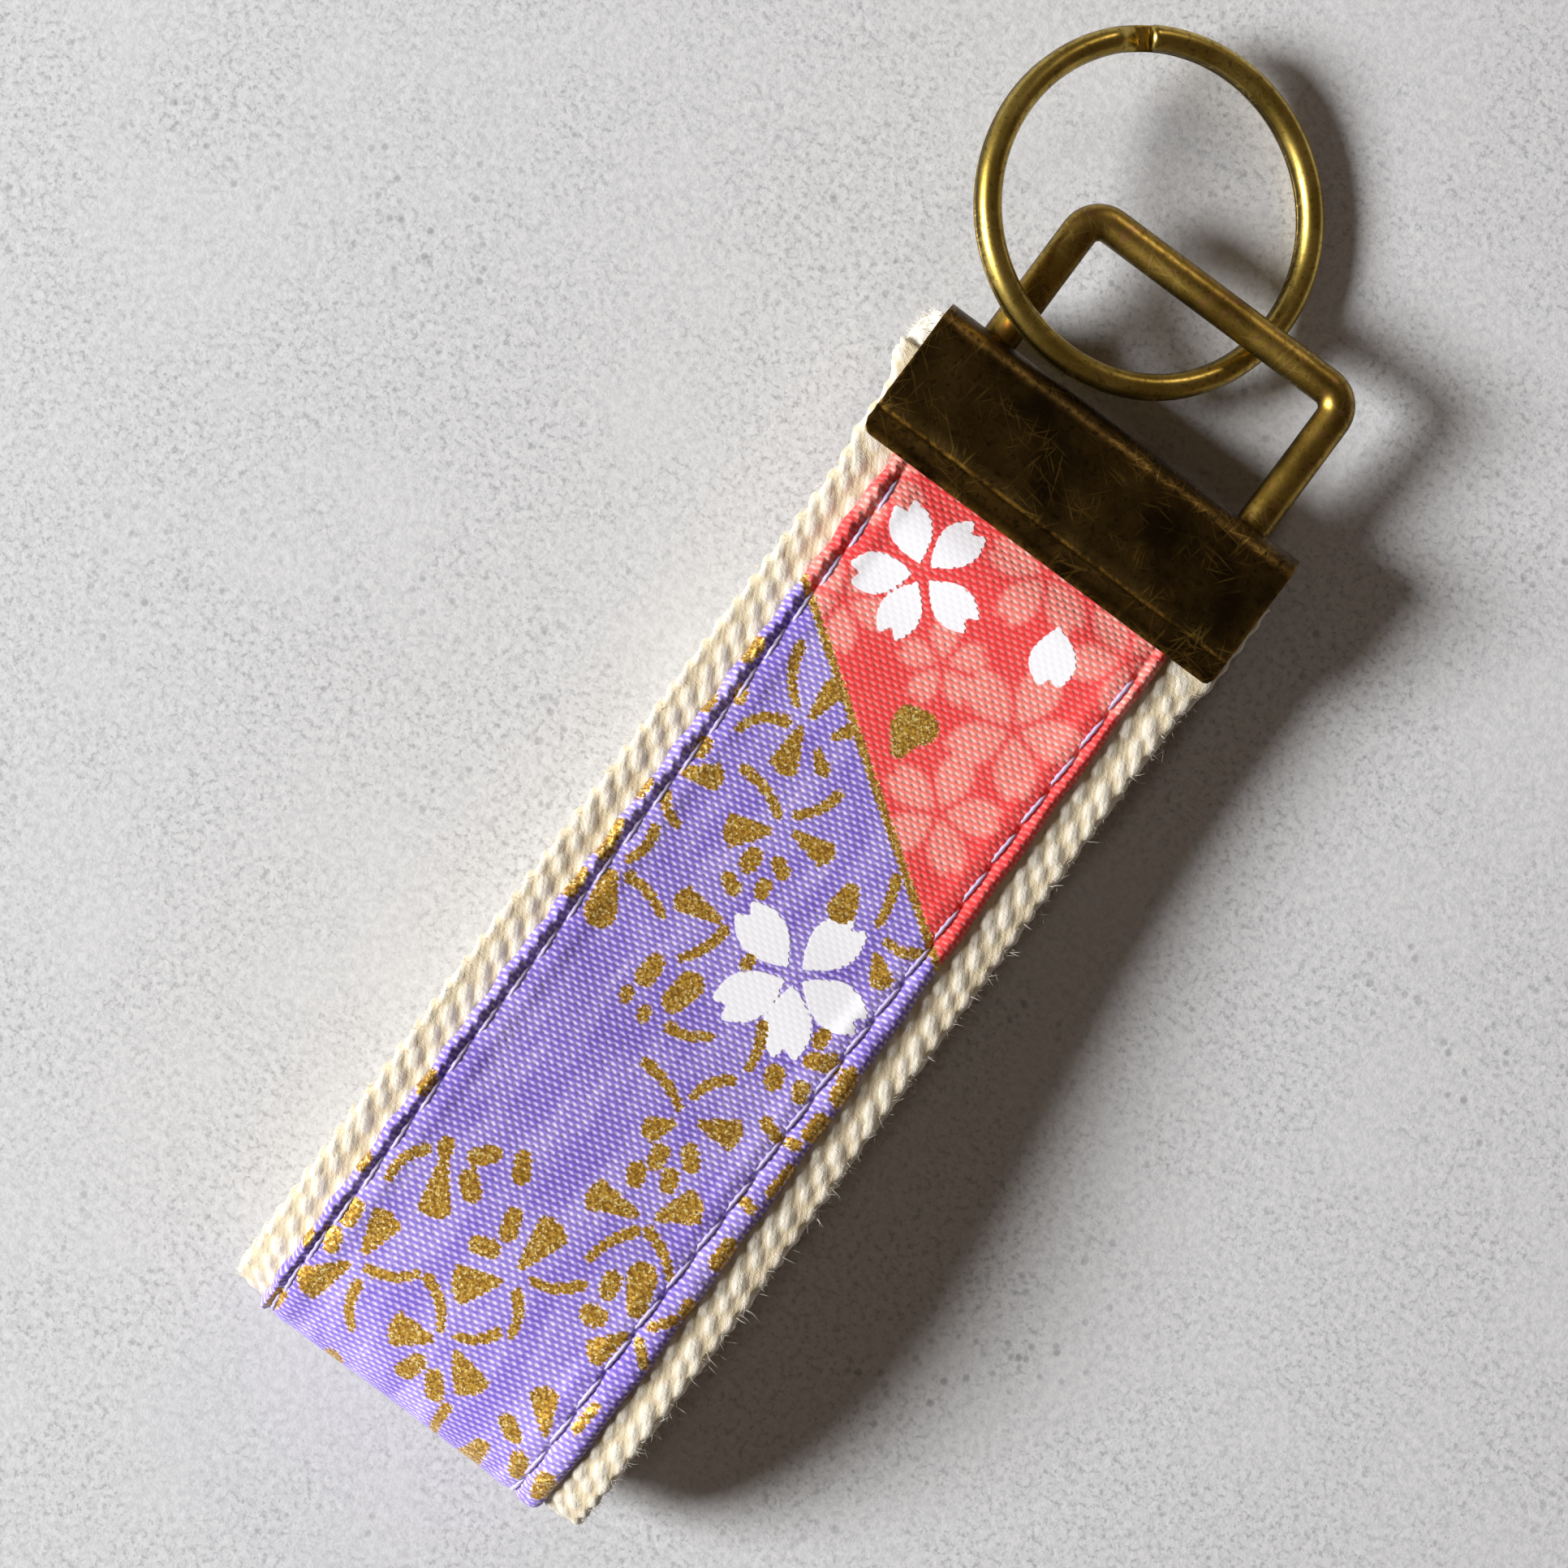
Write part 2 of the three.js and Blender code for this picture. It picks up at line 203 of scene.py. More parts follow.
class Route:
    """The route by arc length: 0 where the front run leaves the clamp, `end` where the back run enters."""

    def __init__(self):
        points = strap_route()
        length = length_along(points)
        even = np.arange(0, length[-1], 0.1)
        self.y, self.z = (np.interp(even, length, points[:, i]) for i in (0, 1))
        inside = END_HIGH[1] - MOUTH_Y
        self.s = even - inside
        self.start, self.end, self.last = self.s[0], length[-1] - 2 * inside, self.s[-1]
        ty, tz = np.gradient(self.y), np.gradient(self.z)
        size = np.hypot(ty, tz)
        kernel = np.ones(9) / 9
        self.ny, self.nz = (
            np.convolve(np.pad(v / size, 4, mode="edge"), kernel, mode="valid") for v in (tz, -ty)
        )
        self.nose = self.s[np.argmin(self.y)]

    def at(self, s, x, out):
        """Points at the arc length s, x across the strap and out from the route."""
        y, z, ny, nz = (np.interp(s, self.s, v) for v in (self.y, self.z, self.ny, self.nz))
        return stacked(x, y + ny * out, z + nz * out)

    def room(self, s):
        """How far out from the route the table is, up to LOOSE where it is far away or behind."""
        z, nz = (np.interp(s, self.s, v) for v in (self.z, self.nz))
        return np.clip((z - TABLE_GAP) / np.maximum(-nz, 1e-3), 0, LOOSE)

    def pressed(self, s, out):
        """out, squeezed together where the strap lies on the table."""
        room = self.room(s)
        return room * (1 - (1 - np.clip(out / LOOSE, 0, 1)) ** (LOOSE / room))

    def free(self, s):
        """0 in the clamp, rising to 1 where the layers are free of it."""
        return smoothstep(s, -0.6, 3.0) * smoothstep(self.end - s, -0.6, 3.0)


ROUTE = Route()


# ---- Webbing: slanted yarn floats in columns, on both faces and round the edges ----
COLUMN, FLOAT_PITCH = 1.25, 1.95
FLOAT_WAY = np.array([0.47, 0.883])


def webbing_relief(w, s):
    """0 in the gaps to 1 on top of a float, at w round the webbing's section and s along it.

    Sines of its column and index put each float a little out of its place, the same every time."""
    best = np.full(np.broadcast(w, s).shape, 0.42)
    column = np.floor(w / COLUMN)
    for dc in (-1, 0, 1):
        centre = (column + dc + 0.5) * COLUMN
        shift = ((column + dc) % 2) * FLOAT_PITCH / 2
        nearest = np.round((s - shift) / FLOAT_PITCH)
        for dk in (-1, 0, 1):
            index = nearest + dk
            wobble = 0.2 * np.sin(index * 12.9898 + (column + dc) * 78.233)
            other = np.sin(index * 4.1 + (column + dc) * 9.7)
            rx, rs = w - centre - wobble, s - index * FLOAT_PITCH - shift - 0.16 * other
            along = np.clip(rx * FLOAT_WAY[0] + rs * FLOAT_WAY[1], -0.42, 0.42)
            gap = np.hypot(rx - along * FLOAT_WAY[0], rs - along * FLOAT_WAY[1])
            height = np.sqrt(np.clip(1 - (gap / (0.6 + 0.07 * other)) ** 2.2, 0, 1))
            best = np.maximum(best, height * (0.93 + 0.07 * other - 0.2 * (along / 0.5) ** 2))
    return best


def webbing_section():
    """The section as (w, x, out, nx, nout, amount): place round it, point, normal and relief."""
    r, under_print = EDGE_ROUND, PRINT_HALF - 0.7
    straight = WEB_HALF - r
    fine = np.linspace(under_print, straight, 15)
    front = [(x, x, 0.0, 0, 1, smoothstep(abs(x), PRINT_HALF - 0.5, PRINT_HALF)) for x in fine]
    flat = WEB_THICK - 2 * r
    corner = [(straight, -r, a) for a in np.linspace(90, 0, 6)[1:]]
    corner.append((straight, -r - flat / 2, 0))
    corner += [(straight, -r - flat, a) for a in np.linspace(0, -90, 6)]
    side, w = [], straight
    for cx, cy, angle in corner:
        c, d = math.cos(math.radians(angle)), math.sin(math.radians(angle))
        x, out = cx + r * c, cy + r * d
        last = side[-1] if side else front[-1]
        w += math.hypot(x - last[1], out - last[2])
        side.append((w, x, out, c, d, 1.0))
    back_x = np.linspace(straight, 0, 44)[1:]
    back = [(w + straight - x, x, -WEB_THICK, 0, -1, 1.0) for x in back_x]
    right = np.array([*front, *side, *back], float)
    left = right[:-1][::-1] * np.array([-1, -1, 1, -1, 1, 1])
    hidden = np.array([(x, x, 0.0, 0, 1, 0) for x in np.linspace(-under_print, under_print, 7)[1:-1]])
    return np.concatenate([left, hidden, right])


def make_webbing():
    section = webbing_section()
    s = np.arange(ROUTE.start, ROUTE.last, 0.27)[:, None]
    w, x, out, nx, nout, amount = section.T[:, None, :]
    free = ROUTE.free(s)
    relief = webbing_relief(w, s)
    tall = (0.42 * relief - 0.3) * amount * (0.35 + 0.65 * free)
    scallop = 0.1 * np.cos(2 * math.pi * s / FLOAT_PITCH) * np.abs(nx)
    crushed = 1 - (1 - WEB_CRUSHED / WEB_THICK) * (1 - free)
    # The raw ends are squeezed wider in the clamp, most of all at one corner.
    end = np.maximum(0, -s) + np.maximum(0, s - ROUTE.end)
    ragged = 0.12 * np.sin(end * 5.1) + 0.08 * np.sin(end * 11.7)
    squeezed = 0.55 * (1 - free) + np.where(x < 0, (1.3 + ragged) * smoothstep(end, 3.5, 7.4), 0)
    wide = x + nx * (tall + scallop) + np.sign(x) * squeezed * smoothstep(np.abs(x), 13.5, 15.5)
    points = ROUTE.at(s, wide, (out + nout * tall) * crushed)
    return new_object("webbing", points, capped_faces(len(s), len(section)), {"web": stacked(w, s, relief)})


FRAY_FROM, FRAY_TO = MOUTH_Y + 3.0, SPINE_Y - 1.1


def fray_surface(up, turn):
    """The frayed corner that sticks out of the clamp's side: its place and its way out, at up along it."""
    wide = 0.35 + 1.15 * smoothstep(up, 0.35, 0.75) - 0.5 * smoothstep(up, 0.8, 1.0)
    lumps = 1 + 0.07 * math.sin(3 * turn + 9 * up) + 0.04 * math.sin(5 * turn - 21 * up)
    around = np.array([math.cos(turn) * wide, 0, math.sin(turn) * 1.5]) * lumps
    y = FRAY_FROM + (FRAY_TO - FRAY_FROM) * up
    return np.array([CLAMP_LOW[0] + 0.05, y, MID_Z]) + around, around + [0, 0.3 * up, 0]


def make_fuzz():
    """Loose fibres along the webbing's edges and beside the clamp, and the frayed corner's core."""
    points, faces = [], []

    def hair(root, way, length, radius, curl):
        way = unit(way)
        side = unit(np.cross(way, RNG.normal(size=3)))
        up = np.cross(way, side)
        base = len(points)
        for k in range(5):
            t = k / 4
            centre = root + way * length * t + side * curl * t * t * length
            for a in (0, 2.094, 4.189):
                points.append(centre + (side * math.cos(a) + up * math.sin(a)) * radius * (1 - 0.7 * t))
        for k in range(4):
            for j in range(3):
                a, b = base + 3 * k + j, base + 3 * k + (j + 1) % 3
                faces.append([a, b, b + 3, a + 3])
        faces.append([base + 2, base + 1, base])
        faces.append([base + 12, base + 13, base + 14])

    straight, middle = WEB_HALF - EDGE_ROUND, -WEB_THICK / 2
    for _ in range(4000):
        side = RNG.choice([-1, 1])
        s = RNG.uniform(0.5, ROUTE.end - 0.5)
        angle = RNG.uniform(-100, 80)
        c, d = math.cos(math.radians(angle)), math.sin(math.radians(angle))
        root = ROUTE.at(s, side * (straight + 0.7 * c), middle + 0.85 * d)
        ahead = ROUTE.at(s + 0.2, side * (straight + 0.7 * c), middle + 0.85 * d) - root
        outward = ROUTE.at(s, side * (WEB_HALF + c), middle + 1.7 * d) - root
        way = unit(unit(outward) + ahead / 0.2 * RNG.normal(0, 0.9))
        length = RNG.uniform(0.2, 0.65) if RNG.random() < 0.8 else RNG.uniform(0.6, 1.3)
        way[2] = max(way[2], (0.25 - root[2]) / length)
        hair(root, way, length, RNG.uniform(0.014, 0.024), RNG.normal(0, 0.45))
    for side, count in ((-1, 900), (1, 200)):
        for _ in range(count):
            up = RNG.uniform(0, 1) ** (0.6 if side < 0 else 1.0)
            y = MOUTH_Y + (END_HIGH[1] - MOUTH_Y - 0.2) * up
            root = np.array([side * (END_HIGH[0] - 0.6), y, MID_Z + RNG.uniform(-1.5, 1.5)])
            way = np.array([side, 0.3 + RNG.normal(0, 0.8), RNG.normal(0, 0.6)])
            if side < 0:
                root, bulge = fray_surface(up, RNG.uniform(0, 2 * math.pi))
                way = bulge + RNG.normal(0, 0.5, 3)
            hair(root, way, RNG.uniform(0.2, 0.6), RNG.uniform(0.012, 0.03), RNG.normal(0, 0.5))
    points = [np.maximum(p, (-np.inf, -np.inf, TABLE_GAP)) for p in points]
    ups, turns = np.linspace(0, 1, 60), np.linspace(0, 2 * math.pi, 40, endpoint=False)
    base = len(points)
    points += [fray_surface(up, turn)[0] for up in ups for turn in turns]
    faces += [[base + v for v in face] for face in capped_faces(len(ups), len(turns))]
    return new_object("webbing_fuzz", points, faces)


# ---- Print strip: hems turned under, held down by two stitch rows ----
# How far the cloth's face stands off the webbing, flat and at a hem's fold, and how round the fold is.
CLOTH_RISE, FOLD_RISE, FOLD_ROUND = 0.6, 0.06, 0.55


def hole_places(side):
    """Arc lengths of a stitch row's needle holes."""
    return np.arange(FIRST_HOLE[side] - 2 * STITCH[side], ROUTE.last, STITCH[side])


def seam_x(side, s):
    """The rows wander: the left one outwards, and the right one inwards, on the way to the fold."""
    if side < 0:
        return -11.55 - 0.55 * smoothstep(s, 15, 85) + 0.05 * np.sin(np.asarray(s) * 0.31)
    return 11.25 - 0.9 * smoothstep(s, 5, 66) + 0.05 * np.sin(np.asarray(s) * 0.27)


def edge_x(side, s):
    """Where a hem's fold lies: it wanders, and every stitch pulls it in a little."""
    pulled = PULL[side] * np.cos(2 * math.pi * (s - FIRST_HOLE[side]) / STITCH[side])
    if side < 0:
        return -12.9 - 0.2 * smoothstep(s, 10, 60) + 0.05 * np.sin(np.asarray(s) * 0.9) + pulled
    return 12.35 + 0.3 * smoothstep(s, 10, 50) + 0.06 * np.sin(np.asarray(s) * 0.8) - pulled


def hole_distance(side, x, s):
    holes = hole_places(side)
    nearest = np.clip(np.round((s - holes[0]) / STITCH[side]), 0, len(holes) - 1)
    return np.hypot(x - seam_x(side, s), (s - holes[0] - nearest * STITCH[side]) * 0.8)


def print_height(x, s, edge):
    """How far the cloth's outer face stands off the webbing, edge being the distance in from the fold."""
    height = np.full(np.broadcast(x, s).shape, CLOTH_RISE)
    for side in (-1, 1):
        gap = side * (x - seam_x(side, s))
        phase = 0.5 - 0.5 * np.cos(2 * math.pi * (s - hole_places(side)[0]) / STITCH[side])
        # The hem stands up as a roll beside the row, pinched at every hole.
        room = side * (edge_x(side, s) - seam_x(side, s))
        roll = (ROLL_LOW[side] + ROLL_MORE[side] * phase) * hump(gap, 0.54 * room, 0.38 * room)
        field = (0.1 + 0.06 * phase) * hump(gap, -1.2, 0.7)
        valley = (0.25 - 0.08 * phase) * hump(gap, 0.06, 0.22)
        dimple = 0.22 * hump(hole_distance(side, x, s), 0, 0.2)
        # Three small creases to a stitch cross the roll aslant.
        crease = 0.08 * np.sin(6 * math.pi * (s + 1.1 * gap) / STITCH[side]) * smoothstep(gap, 0.1, 0.5)
        height = height + np.where(side * x > 0, roll + field - valley - dimple + crease, 0)
    turn = np.sqrt(np.clip(1 - (1 - np.clip(edge / FOLD_ROUND, 0, 1)) ** 2, 0, 1))
    return FOLD_RISE + (height - FOLD_RISE) * turn


def hem_columns():
    """Distances in from a hem's fold, over its outer 3 mm, closest round the fold."""
    rim = FOLD_ROUND * (1 - np.sin(np.linspace(0, math.pi / 2, 7)))
    return np.concatenate([rim[::-1], np.arange(0.68, 3.0, 0.15)])


def make_print(fields):
    """The cloth with its hems, each motif's distance field stored on it under the field's name."""
    s = np.arange(ROUTE.start + 0.2, ROUTE.last - 0.2, 0.25)[:, None]
    hem = hem_columns()[None, :]
    under = np.array([0.05, 0.3, 1.9, HEM])[None, :]
    left, right = edge_x(-1, s), edge_x(1, s)
    middle = left + 3.1 + (right - left - 6.2) * np.linspace(0, 1, 90)[None, :]
    columns = [left + under[:, ::-1], left + hem, middle, right - hem[:, ::-1], right - under]
    hidden = np.concatenate([np.full(c.shape[1], i in (0, 4)) for i, c in enumerate(columns)])[None, :]
    x = np.concatenate(columns, axis=1)
    edge = np.minimum(x - left, right - x)
    free = ROUTE.free(s)
    height = np.where(hidden, 0.05, print_height(x, s, edge))
    height = 0.03 + height * (0.66 + 0.34 * free)
    puckers = 0.035 * np.sin(s * 0.55 + 0.6 * np.sin(x * 0.5)) + 0.03 * np.sin(s * 0.21 + x * 0.33)
    height = height + puckers * free * smoothstep(edge, 1.5, 4.0) * ~hidden
    points = ROUTE.at(s, x, ROUTE.pressed(s, height))
    grid_s = np.broadcast_to(s, x.shape)
    holes = np.minimum(hole_distance(-1, x, grid_s), hole_distance(1, x, grid_s))
    data = {"cloth": stacked(x, grid_s, 0.0), "hole": np.minimum(holes, 2)}
    for key, field in fields.items():
        data[key] = np.clip(field(x, grid_s), -3, 3)
    return new_object("print_strip", points, grid_faces(*x.shape), data)


# ---- Stitches: a two-ply thread that rises from one hole and dips into the next ----
THREAD_RADIUS, INTO_CLOTH = 0.17, 0.16


def thread_row(name, side, outside):
    points, faces = [], []
    holes = hole_places(side)
    rings, sides = 15, 10
    for first, second in zip(holes[:-1], holes[1:]):
        if first < 0.3 or second > ROUTE.end - 0.3:
            continue
        t = np.linspace(0, 1, rings)
        s = first + INTO_CLOTH + (second - first - 2 * INTO_CLOTH) * t
        lift = np.sin(math.pi * t) ** 0.45
        low, high = (0.1, 0.62) if outside else (-WEB_THICK + 0.35, -WEB_THICK - 0.02)
        out = np.minimum(low + (high - low) * lift, ROUTE.room(s) - 1.3 * THREAD_RADIUS)
        lean = side * (0.22 * (0.5 - t) - 0.12)
        centre = ROUTE.at(s, seam_x(side, s) + lean, out)
        tangent = unit(np.gradient(centre, axis=0))
        across = unit(np.array([1.0, 0, 0]) - tangent * tangent[:, :1])
        up = np.cross(tangent, across)
        turn = np.linspace(0, 2 * math.pi, sides, endpoint=False)
        lobes = THREAD_RADIUS * (1 + 0.24 * np.cos(2 * (turn[None, :] - 4.2 * s[:, None])))
        taper = 0.7 + 0.3 * np.sin(math.pi * t)[:, None] ** 0.5
        ring = across[:, None] * (np.cos(turn) * lobes * taper)[..., None]
        ring = ring + up[:, None] * (np.sin(turn) * lobes * taper)[..., None]
        base = len(points) * rings * sides
        points.append((centre[:, None] + ring).reshape(-1, 3))
        faces += [[base + v for v in face] for face in capped_faces(rings, sides)]
    return new_object(name, np.concatenate(points), faces)


# ---- The printed pattern, as signed distances in millimetres, negative inside a motif ----
def softer_max(a, b, k):
    """The greater of two distances, with the corner between them rounded."""
    h = np.clip(0.5 + 0.5 * (a - b) / k, 0, 1)
    return b + (a - b) * h + k * h * (1 - h)


def frame_of(x, s, ax, a_s, bx, b_s):
    """Places along and beside the line from a to b, and its length."""
    length = math.hypot(bx - ax, b_s - a_s)
    ux, us = (bx - ax) / length, (b_s - a_s) / length
    return (x - ax) * ux + (s - a_s) * us, (s - a_s) * ux - (x - ax) * us, length


def bead(x, s, ax, a_s, bx, b_s, ra, rb):
    """An oval from a to b, ra and rb its half widths."""
    dx, ds = bx - ax, b_s - a_s
    h = np.clip(((x - ax) * dx + (s - a_s) * ds) / max(dx * dx + ds * ds, 1e-6), 0, 1)
    return np.hypot(x - ax - h * dx, s - a_s - h * ds) - (ra + (rb - ra) * h)


def fan(x, s, ax, a_s, bx, b_s, half_width):
    """A wedge from its point a to a lobed outer edge at b."""
    along, side, length = frame_of(x, s, ax, a_s, bx, b_s)
    half = 0.12 + (half_width - 0.12) * np.clip(along / length, 0, 1.1) ** 0.85
    outer = length + 0.12 * np.cos(2.6 * side / half_width + 0.5) - 0.28 * (side / half_width) ** 2
    return softer_max(softer_max((np.abs(side) - half) * 0.92, along - outer, 0.22), -along, 0.1)


def arc(x, s, ax, a_s, bx, b_s, bow):
    """A bowed stroke, blunt at a and thinner towards b."""
    ts = np.linspace(0, 1, 6)
    length = math.hypot(bx - ax, b_s - a_s)
    push = bow * 4 * ts * (1 - ts) / length
    px, ps = ax + (bx - ax) * ts - (b_s - a_s) * push, a_s + (b_s - a_s) * ts + (bx - ax) * push
    radii = 0.36 * (1.0 - 0.3 * ts)
    parts = [bead(x, s, px[i], ps[i], px[i + 1], ps[i + 1], radii[i], radii[i + 1]) for i in range(5)]
    return np.minimum.reduce(parts)


def petal(x, s, cx, cs, reach, width, degrees, notch=0.75, start=0.75):
    """One blossom petal out from its centre, its tip notched. 0 degrees points to +X, 90 to the ring."""
    a = math.radians(degrees)
    along, side, _ = frame_of(x, s, cx, cs, cx + math.cos(a), cs - math.sin(a))
    p = np.clip((along - start) / (reach - start), 0.0, 1)
    half = width * np.sin(math.pi * 0.84 * p) ** 0.95
    body = np.maximum((np.abs(side) - half) * 0.8, np.maximum(start - along, along - reach))
    cut = notch - 1.25 * np.abs(side) - (reach - along)
    return np.maximum(body, cut * 0.6)


def blossom(x, s, cx, cs, radius, turns, notch=0.75, start=0.75):
    return np.minimum.reduce([petal(x, s, cx, cs, radius, radius * 0.295, d, notch, start) for d in turns])


def fives(first):
    """Five even turns, in degrees."""
    return [first + 72 * k for k in range(5)]


# Each motif is placed by (across the strap, along it from the clamp's mouth) at its two ends.
# Fans: their point, their outer edge, and their half width there.
FANS = [
    (-6.1, 19.5, -6.0, 16.2, 0.85), (-6.3, 20.4, -5.5, 23.9, 1.15), (-4.4, 21.0, -2.8, 22.2, 0.6),
    (-4.0, 19.6, -3.0, 18.2, 0.55), (-2.1, 27.0, 1.2, 26.9, 1.0), (-3.5, 27.9, -6.2, 29.8, 1.3),
    (-11.5, 28.3, -8.7, 27.0, 1.1), (-2.5, 35.4, -6.1, 35.8, 1.05), (8.0, 30.5, 9.9, 32.2, 0.95),
    (4.9, 48.2, 7.9, 47.3, 1.2), (3.6, 49.1, 2.1, 51.0, 0.95), (6.5, 55.5, 8.6, 52.9, 1.35),
    (5.4, 56.1, 1.6, 56.8, 1.2), (-8.4, 60.9, -6.5, 64.9, 1.2), (0.8, 64.2, 1.2, 60.1, 1.35),
    (0.3, 65.7, -2.3, 68.0, 1.55), (-8.9, 70.2, -9.0, 66.7, 1.25), (-9.3, 71.4, -11.2, 75.2, 1.35),
    (-1.1, 72.3, -4.1, 73.5, 1.5), (0.7, 72.0, 3.6, 73.8, 1.5), (9.6, 73.0, 7.5, 70.2, 1.1),
    (9.9, 63.4, 8.6, 66.2, 1.05),
]
# Beads: their two ends and the half width at each.
BEADS = [
    (3.9, 28.0, 4.1, 29.3, 0.6, 1.05), (-3.4, 30.1, -3.4, 30.8, 0.6, 0.65),
    (-1.6, 29.5, -1.0, 29.8, 0.5, 0.5), (-1.5, 31.4, -1.4, 31.9, 0.5, 0.5),
    (-3.9, 32.6, -3.2, 32.9, 0.5, 0.5), (-11.2, 25.6, -11.2, 26.3, 0.5, 0.5),
    (0.9, 36.5, 0.9, 36.9, 0.4, 0.4), (8.5, 37.7, 8.5, 38.2, 0.5, 0.5),
    (-10.9, 37.8, -10.0, 40.1, 0.6, 1.15), (-4.5, 40.8, -4.5, 42.0, 0.65, 0.7),
    (-1.5, 40.5, -1.8, 42.2, 0.95, 0.8), (-4.9, 43.7, -4.8, 44.0, 0.45, 0.4),
    (-3.0, 44.1, -2.9, 44.4, 0.45, 0.4), (7.3, 42.1, 7.5, 42.5, 0.7, 0.65),
    (9.5, 41.8, 9.7, 42.3, 0.6, 0.5), (8.9, 39.7, 10.2, 39.0, 0.55, 0.7),
    (8.9, 45.3, 10.3, 45.7, 0.4, 0.35), (11.2, 45.4, 11.6, 45.3, 0.4, 0.4),
    (5.7, 50.3, 6.3, 50.9, 0.6, 0.6), (4.0, 51.5, 4.1, 52.3, 0.6, 0.55),
    (5.6, 52.5, 5.9, 53.2, 0.6, 0.5), (3.4, 53.6, 3.7, 54.2, 0.65, 0.55),
    (8.3, 59.5, 9.3, 61.4, 1.05, 0.7), (6.7, 60.9, 6.9, 61.7, 0.65, 0.6),
    (6.9, 63.8, 7.4, 63.7, 0.75, 0.7), (-8.8, 60.2, -8.6, 60.6, 0.5, 0.5),
    (-6.0, 61.2, -5.2, 61.9, 0.65, 0.65), (-6.5, 59.7, -5.7, 58.8, 0.6, 0.6),
    (-3.7, 57.8, -3.1, 58.8, 0.55, 0.6), (-1.8, 61.4, -1.4, 62.6, 0.55, 0.6),
    (-2.6, 64.6, -1.7, 64.3, 0.65, 0.65), (-11.4, 67.7, -11.3, 68.7, 0.6, 0.6),
    (-11.4, 70.4, -11.2, 71.0, 0.6, 0.6), (-1.0, 74.5, -1.4, 75.9, 0.6, 0.7),
    (0.6, 74.7, 1.3, 75.9, 0.6, 0.7), (6.8, 74.1, 7.8, 74.7, 0.6, 0.6),
    (9.2, 76.0, 9.7, 77.3, 0.65, 0.6), (6.4, 77.3, 6.2, 81.3, 0.55, 1.1),
    (11.7, 76.0, 11.9, 77.7, 0.7, 0.6), (-6.2, 79.6, -6.1, 81.8, 0.7, 0.75),
    (-0.1, 15.2, 0.9, 15.1, 1.15, 1.15), (0.2, 15.9, 0.45, 17.4, 1.35, 0.55),
    (11.8, 38.9, 12.1, 40.6, 0.6, 0.7), (12.1, 42.8, 12.0, 44.0, 0.6, 0.6),
    (12.3, 46.9, 12.1, 49.2, 0.3, 0.3), (11.1, 50.8, 11.7, 50.9, 0.35, 0.35),
    (12.0, 53.9, 12.0, 55.5, 0.5, 0.5), (11.0, 61.9, 12.0, 60.6, 0.28, 0.32),
    (10.9, 63.3, 12.2, 64.4, 0.28, 0.28), (11.2, 68.9, 11.1, 71.2, 0.3, 0.3),
    (12.2, 59.0, 12.3, 59.7, 0.4, 0.4), (-12.5, 17.4, -12.6, 18.5, 0.55, 0.55),
    (-11.4, 20.8, -11.2, 21.3, 0.4, 0.45), (-12.8, 22.6, -12.8, 23.4, 0.35, 0.35),
    (-12.9, 30.4, -12.9, 31.4, 0.35, 0.4), (-12.8, 34.2, -12.4, 36.4, 0.4, 0.6),
    (-12.8, 38.8, -12.7, 40.2, 0.5, 0.5), (-12.7, 57.0, -12.6, 58.0, 0.45, 0.45),
    (-12.9, 64.4, -12.9, 65.0, 0.4, 0.4), (-12.9, 71.3, -12.9, 71.9, 0.35, 0.35),
    (-12.0, 77.0, -12.1, 79.0, 0.4, 0.35),
]
# Arcs: their two ends and how far they bow.
ARCS = [
    (-9.9, 15.6, -7.6, 19.2, 0.45), (-7.4, 20.7, -9.9, 23.2, 0.55), (-1.1, 22.8, -2.7, 25.8, -0.35),
    (-7.7, 25.4, -3.8, 26.6, -0.35), (-11.3, 30.4, -9.3, 31.6, 0.3), (-10.4, 32.9, -10.6, 35.8, -0.35),
    (6.0, 25.2, 6.9, 28.6, -0.15), (10.8, 28.5, 8.2, 29.4, -0.3), (-9.8, 36.8, -6.2, 37.7, -0.3),
    (-1.9, 35.9, -3.2, 39.3, -0.3), (-0.9, 43.9, 1.9, 42.6, 0.3), (4.5, 39.8, 5.5, 42.8, -0.25),
    (5.0, 44.3, 3.5, 46.9, 0.35), (-0.7, 47.0, 3.1, 48.1, -0.3), (6.7, 56.6, 9.9, 58.3, -0.3),
    (5.9, 57.2, 4.4, 60.7, 0.3), (-9.8, 61.4, -10.7, 64.6, 0.45), (5.1, 62.5, 2.1, 64.3, -0.45),
    (1.8, 65.8, 3.2, 68.4, -0.3), (-7.9, 70.9, -4.9, 69.0, 0.4), (-7.9, 72.4, -6.4, 75.6, 0.35),
    (-4.0, 68.8, -1.2, 71.2, -0.4), (2.3, 69.0, 0.2, 71.0, -0.3), (2.7, 76.3, 3.4, 81.8, 0.2),
]
# Pale blossoms of the coral area: their centre, their radius, and how far they are turned.
PALE_BLOSSOMS = [
    (6.4, 11.1, 5.2, 20), (1.6, 0.5, 4.6, 45), (10.0, 2.0, 4.4, 5), (5.6, 19.4, 4.6, 30),
    (-9.4, 10.9, 4.0, 12), (-0.7, 10.4, 3.4, 50), (-12.5, 2.0, 3.6, 0),
]
# The slanting gold line's two ends, on the front run and, measured from its own end, the back one.
FRONT_LINE, BACK_LINE = (-11.5, 12.2, 10.5, 27.4), (-11.5, 9.0, 10.5, 20.0)


def zone_field(x, s):
    """Distance past the slanting gold line, negative on its coral side."""
    _, front, _ = frame_of(x, s, *FRONT_LINE)
    _, back, _ = frame_of(x, ROUTE.end - s, *BACK_LINE)
    return np.minimum(front, back)


